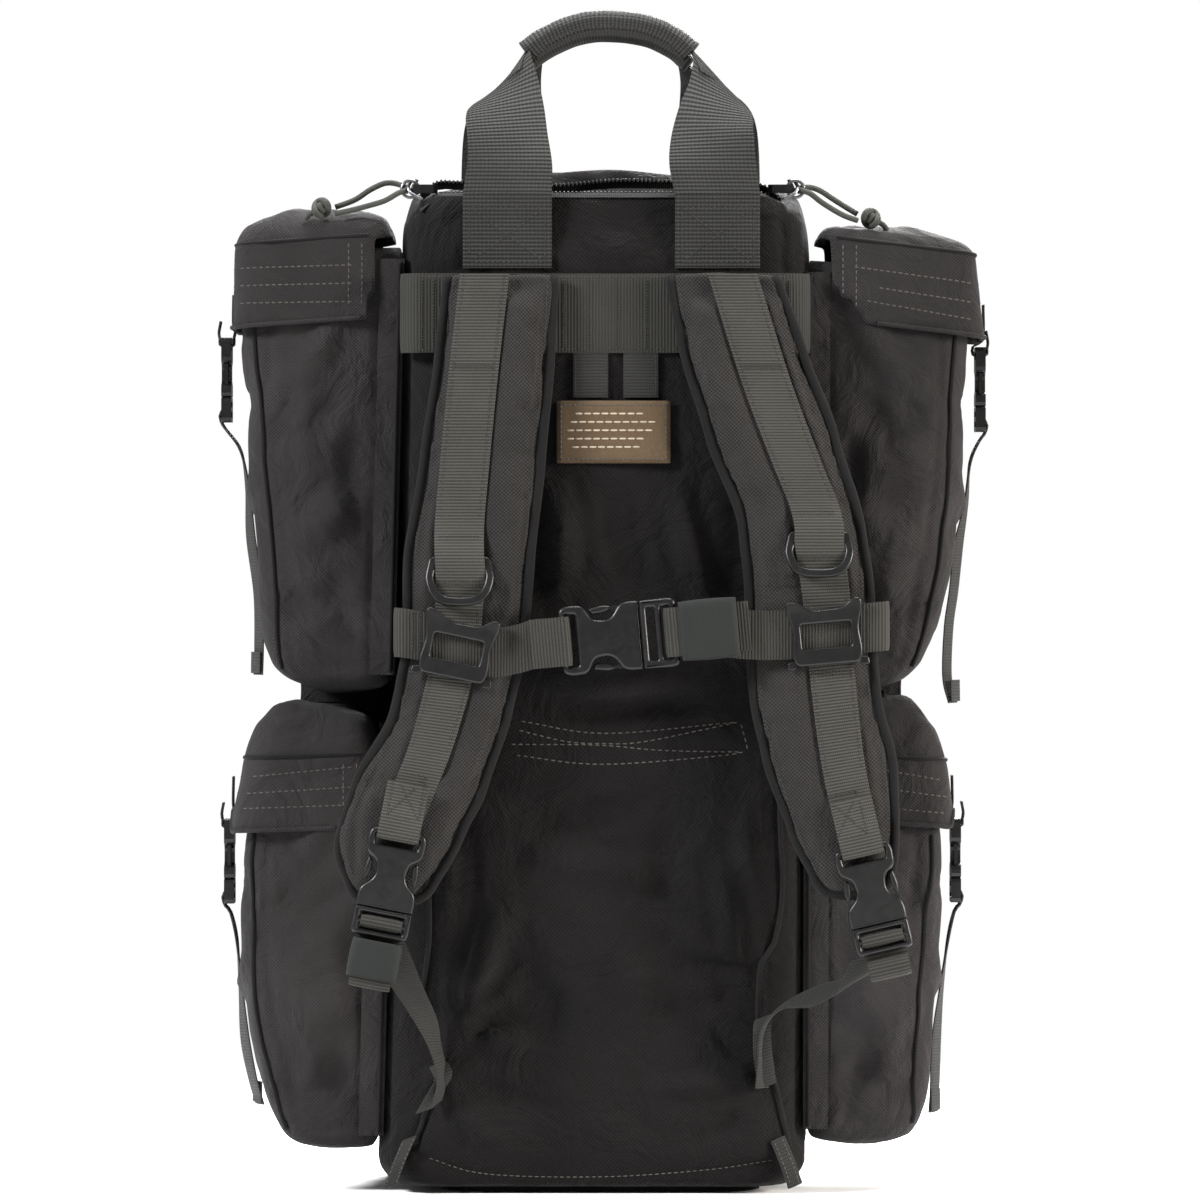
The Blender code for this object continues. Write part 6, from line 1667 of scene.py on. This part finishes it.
def build_sternum():
    where = sternum_matrix()
    y_front = pad_y(0.310) - PAD_THICK / 2 - WEBBING - 2 * GAP - WEBBING / 2 - 0.0002
    y_back = pad_y(0.33) + PAD_THICK / 2 + GAP + WEBBING / 2 + 0.0012
    back = 0.030 * 0.15 + GAP + WEBBING / 2 + 0.0002
    turned = [where @ Vector(p) for p in (
        (0.0, back - 0.0035, 0.0160), (0.0, back - 0.0005, 0.0060), (0.0, back, -0.0010),
        (0.0, back, -0.0042), (0.0, back * 0.55, -0.0055), (0.0, -back * 0.55, -0.0055),
        (0.0, -back, -0.0042), (0.0, -back, -0.0010), (0.0, -back + 0.0010, 0.0080),
        (0.0, -back + 0.0035, 0.0180))]
    left = [(-0.0800, y_back, 0.3330), (-0.1080, y_back, 0.3360), (-0.1180, y_back, 0.3370),
            (-0.1222, y_back - 0.0030, 0.3372), (-0.1232, pad_y(0.33), 0.3372),
            (-0.1222, y_front + 0.0030, 0.3372), (-0.1180, y_front, 0.3368),
            (-0.1080, y_front, 0.3350), (-0.0855, y_front, 0.3290), (-0.0660, y_front, 0.3250),
            (-0.0510, y_front + 0.0012, 0.3270)]
    right = [(0.1250, y_back, 0.3390), (0.1550, y_back, 0.3410), (0.1650, y_back, 0.3410),
             (0.1705, y_back - 0.0030, 0.3410), (0.1716, pad_y(0.33), 0.3410),
             (0.1705, y_front + 0.0030, 0.3410), (0.1650, y_front, 0.3405),
             (0.1341, y_front, 0.3375), (0.1050, y_front, 0.3355), (0.0850, y_front, 0.3360),
             (0.0690, y_front + 0.0004, 0.3375)]
    upright = Vector((0, 0, STERNUM_HALF))
    along = -(where.to_3x3() @ Vector((1, 0, 0))) * STERNUM_HALF
    along = -along if along.z < 0 else along
    one = band("sternum_web_left", left + turned, [upright] * len(left) + [along] * len(turned),
               WEB_STERNUM, "sternum_strap", 0.0016, 0.0025, 8)
    two = band("sternum_web_right", right, [upright] * len(right), WEB_STERNUM, "sternum_strap",
               0.0016, 0.0025, 8)
    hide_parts("sternum_webbing_left")
    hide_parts("sternum_webbing_right")
    across = (where.to_3x3() @ Vector((1, 0, 0))) * STERNUM_HALF
    front = 0.030 * 0.15 + GAP + WEBBING / 2 + 0.0003
    path = [(0.0022, -0.0668), (0.0, -0.0629), (-front * 0.7, -0.0630), (-front, -0.0646),
            (-front, -0.0700), (-front + 0.0008, -0.0750), (-0.0036, -0.0815),
            (-0.0027, -0.0900), (-0.0027, -0.1130)]
    tail = band("sternum_strap_tail", [where @ Vector((0.0, y, z)) for y, z in path],
                [across] * len(path), WEB_STERNUM, "sternum_release", 0.0016, 0.0022, 8)
    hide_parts("sternum_tail")
    keeper = sleeve("elastic_keeper", where, 0.0176, 0.0042, -0.0715, -0.1060, -0.0032,
                    "sternum_release")
    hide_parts("sternum_keeper")
    for made, xs in ((one, (-0.108, -0.112)), (two, (0.155, 0.159))):
        for x in xs:
            Sewing.run(made, [(x, -0.13, 0.326), (x, -0.13, 0.352)], "sternum_strap",
                       pitch=0.0022, length=0.0017, width=0.0008)


for hand in ("left", "right"):
    build_pad(hand)
    build_shoulder_webbing(hand)
build_tails()
sleeve("tail_keeper_left", buckle_matrix("left"), 0.0148, 0.0062, -0.0665, -0.0895, -0.0014,
               "shoulder_release_left")
build_lower_straps()
build_sternum()


# ================================================================ corner tabs and far side
def base_tabs():
    """Bound tabs folded over the two lower corners in front."""
    for side, top, foot in ((-1, -0.1150, -0.1262), (1, 0.1060, 0.1165)):
        hand = "left" if side < 0 else "right"
        path = [(top, -0.1012, 0.0335), (top * 0.4 + foot * 0.6, -0.1022, 0.0180),
                (foot, -0.0985, 0.0050)]
        made = band("base_tab_" + hand, path, [(0.0042, side * 0.0010, 0.0018)] * 3, WEB_DARK_AND_SHADE,
                    "root", 0.0022, 0.003, 6)
        for edge in (-0.0028, 0.0028):
            Sewing.run(made, [(x + edge, y, z) for x, y, z in path], "root", THREAD,
                       pitch=0.0030, length=0.0020, width=0.0006, reach=0.012)


base_tabs()


def far_side():
    for index, z in enumerate((0.430, 0.330)):
        made = band(f"far_band_{index}", [(x, 0.1062, z) for x in np.linspace(-0.104, 0.104, 9)],
                    [(0, 0, 0.0125)] * 9, WEB, "root", 0.0016, 0.005, 8)
        for x in (-0.100, -0.050, 0.0, 0.050, 0.100):
            Sewing.run(made, [(x, 0.106, z - 0.0105), (x, 0.106, z + 0.0105)], pitch=0.0019,
                       length=0.0014, width=0.0010, toward=(0, -1, 0))


far_side()


# ================================================================ hardware
def build_buckle(prefix, webbing, female, male, where, bodies):
    """A side-release buckle: a waisted housing, two sprung prongs and a ladder frame."""
    half, thick = webbing * 0.68, webbing * 0.30
    spine, top, mouth = webbing * 0.35, female * 0.36, female * 0.76
    eye = webbing * 0.5 + 0.0008
    housing = rounded([(-half * 0.93, 0.0, 0.0040), (half * 0.93, 0.0, 0.0040),
                       (half * 1.03, -female * 0.10, 0.003), (half, -top * 0.86, 0.0035),
                       (spine + 0.0012, -top - 0.0022, 0.0025), (spine, -(top + mouth) / 2, 0.004),
                       (spine + 0.0018, -mouth + 0.0052, 0.0025), (half * 0.97, -mouth, 0.0035),
                       (half * 1.02, -female * 0.88, 0.003), (half, -female, 0.0008),
                       (-half, -female, 0.0008), (-half * 1.02, -female * 0.88, 0.003),
                       (-half * 0.97, -mouth, 0.0035), (-spine - 0.0018, -mouth + 0.0052, 0.0025),
                       (-spine, -(top + mouth) / 2, 0.004),
                       (-spine - 0.0012, -top - 0.0022, 0.0025),
                       (-half, -top * 0.86, 0.0035), (-half * 1.03, -female * 0.10, 0.003)], 0.003)
    slot = rounded([(-eye, -0.0032), (eye, -0.0032), (eye * 0.97, -0.0098), (-eye * 0.97, -0.0098)],
                   0.0014)
    shell = plate(prefix + "_housing", [housing, slot], thick, thick * 0.20, where, PLASTIC,
                  bodies[0], lambda x, z: 0.10 * thick * (z / female) ** 2)
    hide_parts(prefix + "_buckle_female")
    start, end = -female - GAP, -female - GAP - male
    outline = rounded([(-half, start, 0.0008), (half, start, 0.0008), (half * 1.02, end + 0.004),
                       (half * 0.96, end, 0.0030), (-half * 0.96, end, 0.0030),
                       (-half * 1.02, end + 0.004)], 0.003)
    bar, holes = male * 0.20, []
    for k in (0, 1):
        low = end + bar + k * male * 0.40
        holes.append(rounded([(-eye, low), (eye, low), (eye, low + male * 0.22),
                              (-eye, low + male * 0.22)], 0.0009))
    frame_of = plate(prefix + "_ladder", [outline] + holes, thick, thick * 0.20, where, PLASTIC,
                     bodies[1])
    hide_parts(prefix + "_buckle_male")
    tip, reach = -female * 0.40, half - 0.0006
    for sign in (-1, 1):
        wide = webbing * 0.13
        prong = rounded([(sign * (reach - wide), start - 0.0005, 0.001),
                         (sign * (reach - wide * 0.6), -mouth + 0.004, 0.004),
                         (sign * (reach - wide * 1.25), -(top + mouth) / 2, 0.005),
                         (sign * (reach - wide * 1.35), tip, 0.002),
                         (sign * (reach - wide * 0.45), tip + 0.0016, 0.002),
                         (sign * (reach + 0.0002), -(top + mouth) / 2 - 0.001, 0.006),
                         (sign * (reach - 0.0024), -mouth + 0.002, 0.004),
                         (sign * (reach - 0.0018), start - 0.0005, 0.001)], 0.002)
        plate(prefix + "_prong_" + ("left" if sign < 0 else "right"), [prong],
              thick - 0.0036, (thick - 0.0036) * 0.32, where, PLASTIC, bodies[1])
    guide = rounded([(-webbing * 0.07, start), (webbing * 0.07, start),
                     (webbing * 0.07, tip * 1.25), (-webbing * 0.07, tip * 1.25)], 0.001)
    plate(prefix + "_guide", [guide], thick - 0.0040, 0.0005, where, PLASTIC, bodies[1])


def build_d_ring(hand):
    bar_x, bar_z = RING_BAR[hand]
    y = pad_y(bar_z) - PAD_THICK / 2 - GAP - 0.0021
    drop = {"left": 0.0282, "right": 0.0262}[hand]
    half, wide = 0.0207, 0.0050

    def dee(grow):
        points = [(-half * 0.88 - grow, 0.0022 + grow * 0.84),
                  (half * 0.88 + grow, 0.0022 + grow * 0.84)]
        for k in range(15):
            angle = math.radians(-12.0 * k - 6.0)
            across = math.copysign(abs(math.cos(angle)) ** 0.58, math.cos(angle))
            points.append(((half + grow) * across,
                           -0.0080 + (drop - 0.0080 + grow) * math.sin(angle)))
        return points
    outer = rounded([(x, z, 0.0030) for x, z in dee(0.0)], 0.003)
    inner = rounded([(x, z, 0.0020) for x, z in dee(-wide)], 0.002)
    lean = math.radians(-17.0)
    where = Matrix.Translation((bar_x, y, bar_z)) @ Matrix.Rotation(lean, 4, "X")
    ring_plate = plate("d_ring_band_" + hand, [outer, inner], 0.0034, 0.0013, where, PLASTIC,
                       "d_ring_" + hand)
    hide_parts("d_ring_" + hand)


def build_slider(hand):
    x, z, tilt = {"left": (-0.0855, 0.3285, 12.0), "right": (0.1341, 0.3369, -5.0)}[hand]
    half = 0.0228
    outer = [(-half * 0.84, -0.0190), (half * 0.84, -0.0190), (half * 0.93, -0.0120),
             (half * 0.86, 0.0020), (half, 0.0150), (half * 0.98, 0.0196),
             (half * 0.76, 0.0196), (half * 0.46, 0.0142), (-half * 0.30, 0.0136),
             (-half * 0.70, 0.0192), (-half * 0.98, 0.0202), (-half, 0.0150),
             (-half * 0.86, 0.0020), (-half * 0.93, -0.0120)]
    window = [(-0.0148, -0.0088), (0.0148, -0.0088), (0.0150, 0.0058), (-0.0150, 0.0058)]
    y = pad_y(z - 0.021) - PAD_THICK / 2 - 2 * WEBBING - 3 * GAP - 0.0025
    where = Matrix.Translation((x, y, z)) @ Matrix.Rotation(math.radians(tilt), 4, "Y")
    made = plate("slider_plate_" + hand, [rounded(outer, 0.0034), rounded(window, 0.0016)], 0.0044,
                 0.0014, where, PLASTIC, "sternum_strap",
                 lambda a, b: -0.0016 * max(0.0, (b - 0.004) / 0.016) ** 2)
    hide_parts("sternum_slider_" + hand)
    for sign_x, sign_z in ((-1, -1), (1, -1)):
        hook = rounded([(sign_x * half * a, sign_z * b) for a, b in (
            (0.80, 0.0150), (1.06, 0.0160), (1.08, 0.0205), (0.86, 0.0206))], 0.0012)
        piece = plate(f"slider_hook_{hand}_{'left' if sign_x < 0 else 'right'}", [hook], 0.0030,
                      0.0009, where @ Matrix.Translation((0, 0.0012, 0)), PLASTIC, "sternum_strap")


for hand in ("left", "right"):
    build_buckle("shoulder_" + hand, 0.025, 0.0475, 0.0165, buckle_matrix(hand),
                 ("harness", "shoulder_release_" + hand))
    build_d_ring(hand)
    build_slider(hand)
build_buckle("sternum", 0.030, 0.0480, 0.0215, sternum_matrix(),
             ("sternum_strap", "sternum_release"))


def crisp(node, width, segments=2):
    bevel = node.modifiers.new("edge", "BEVEL")
    bevel.width = width
    bevel.segments = segments
    bevel.limit_method = "ANGLE"
    bevel.angle_limit = math.radians(38)


for name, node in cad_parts.items():
    if "buckle" in name:
        node.data.materials[0] = PLASTIC
        crisp(node, 0.00045)
    elif name.startswith("zipper_slider"):
        node.data.materials[0] = PLASTIC
        crisp(node, 0.00045, 3)


Sewing.close()


# ================================================================ floor
def build_floor():
    bm = bmesh.new()
    bmesh.ops.create_circle(bm, cap_ends=True, segments=96, radius=1.6)
    floor = link("floor", from_bmesh(bm, "floor"), BODY)
    made, tree, shader = new_material("floor_paint")
    shader.inputs["Base Color"].default_value = (0.90, 0.90, 0.90, 1.0)
    shader.inputs["Roughness"].default_value = 0.75
    where = tree.nodes.new("ShaderNodeTexCoord").outputs["Object"]
    length = tree.nodes.new("ShaderNodeVectorMath")
    length.operation = "LENGTH"
    tree.links.new(where, length.inputs[0])
    fade = tree.nodes.new("ShaderNodeMapRange")
    fade.interpolation_type = "SMOOTHSTEP"
    fade.inputs["From Min"].default_value = 0.35
    fade.inputs["From Max"].default_value = 1.45
    fade.inputs["To Min"].default_value = 1.0
    fade.inputs["To Max"].default_value = 0.0
    tree.links.new(length.outputs["Value"], fade.inputs["Value"])
    tree.links.new(fade.outputs["Result"], shader.inputs["Alpha"])
    floor.data.materials[0] = made
    floor.location.z = -0.0004


build_floor()
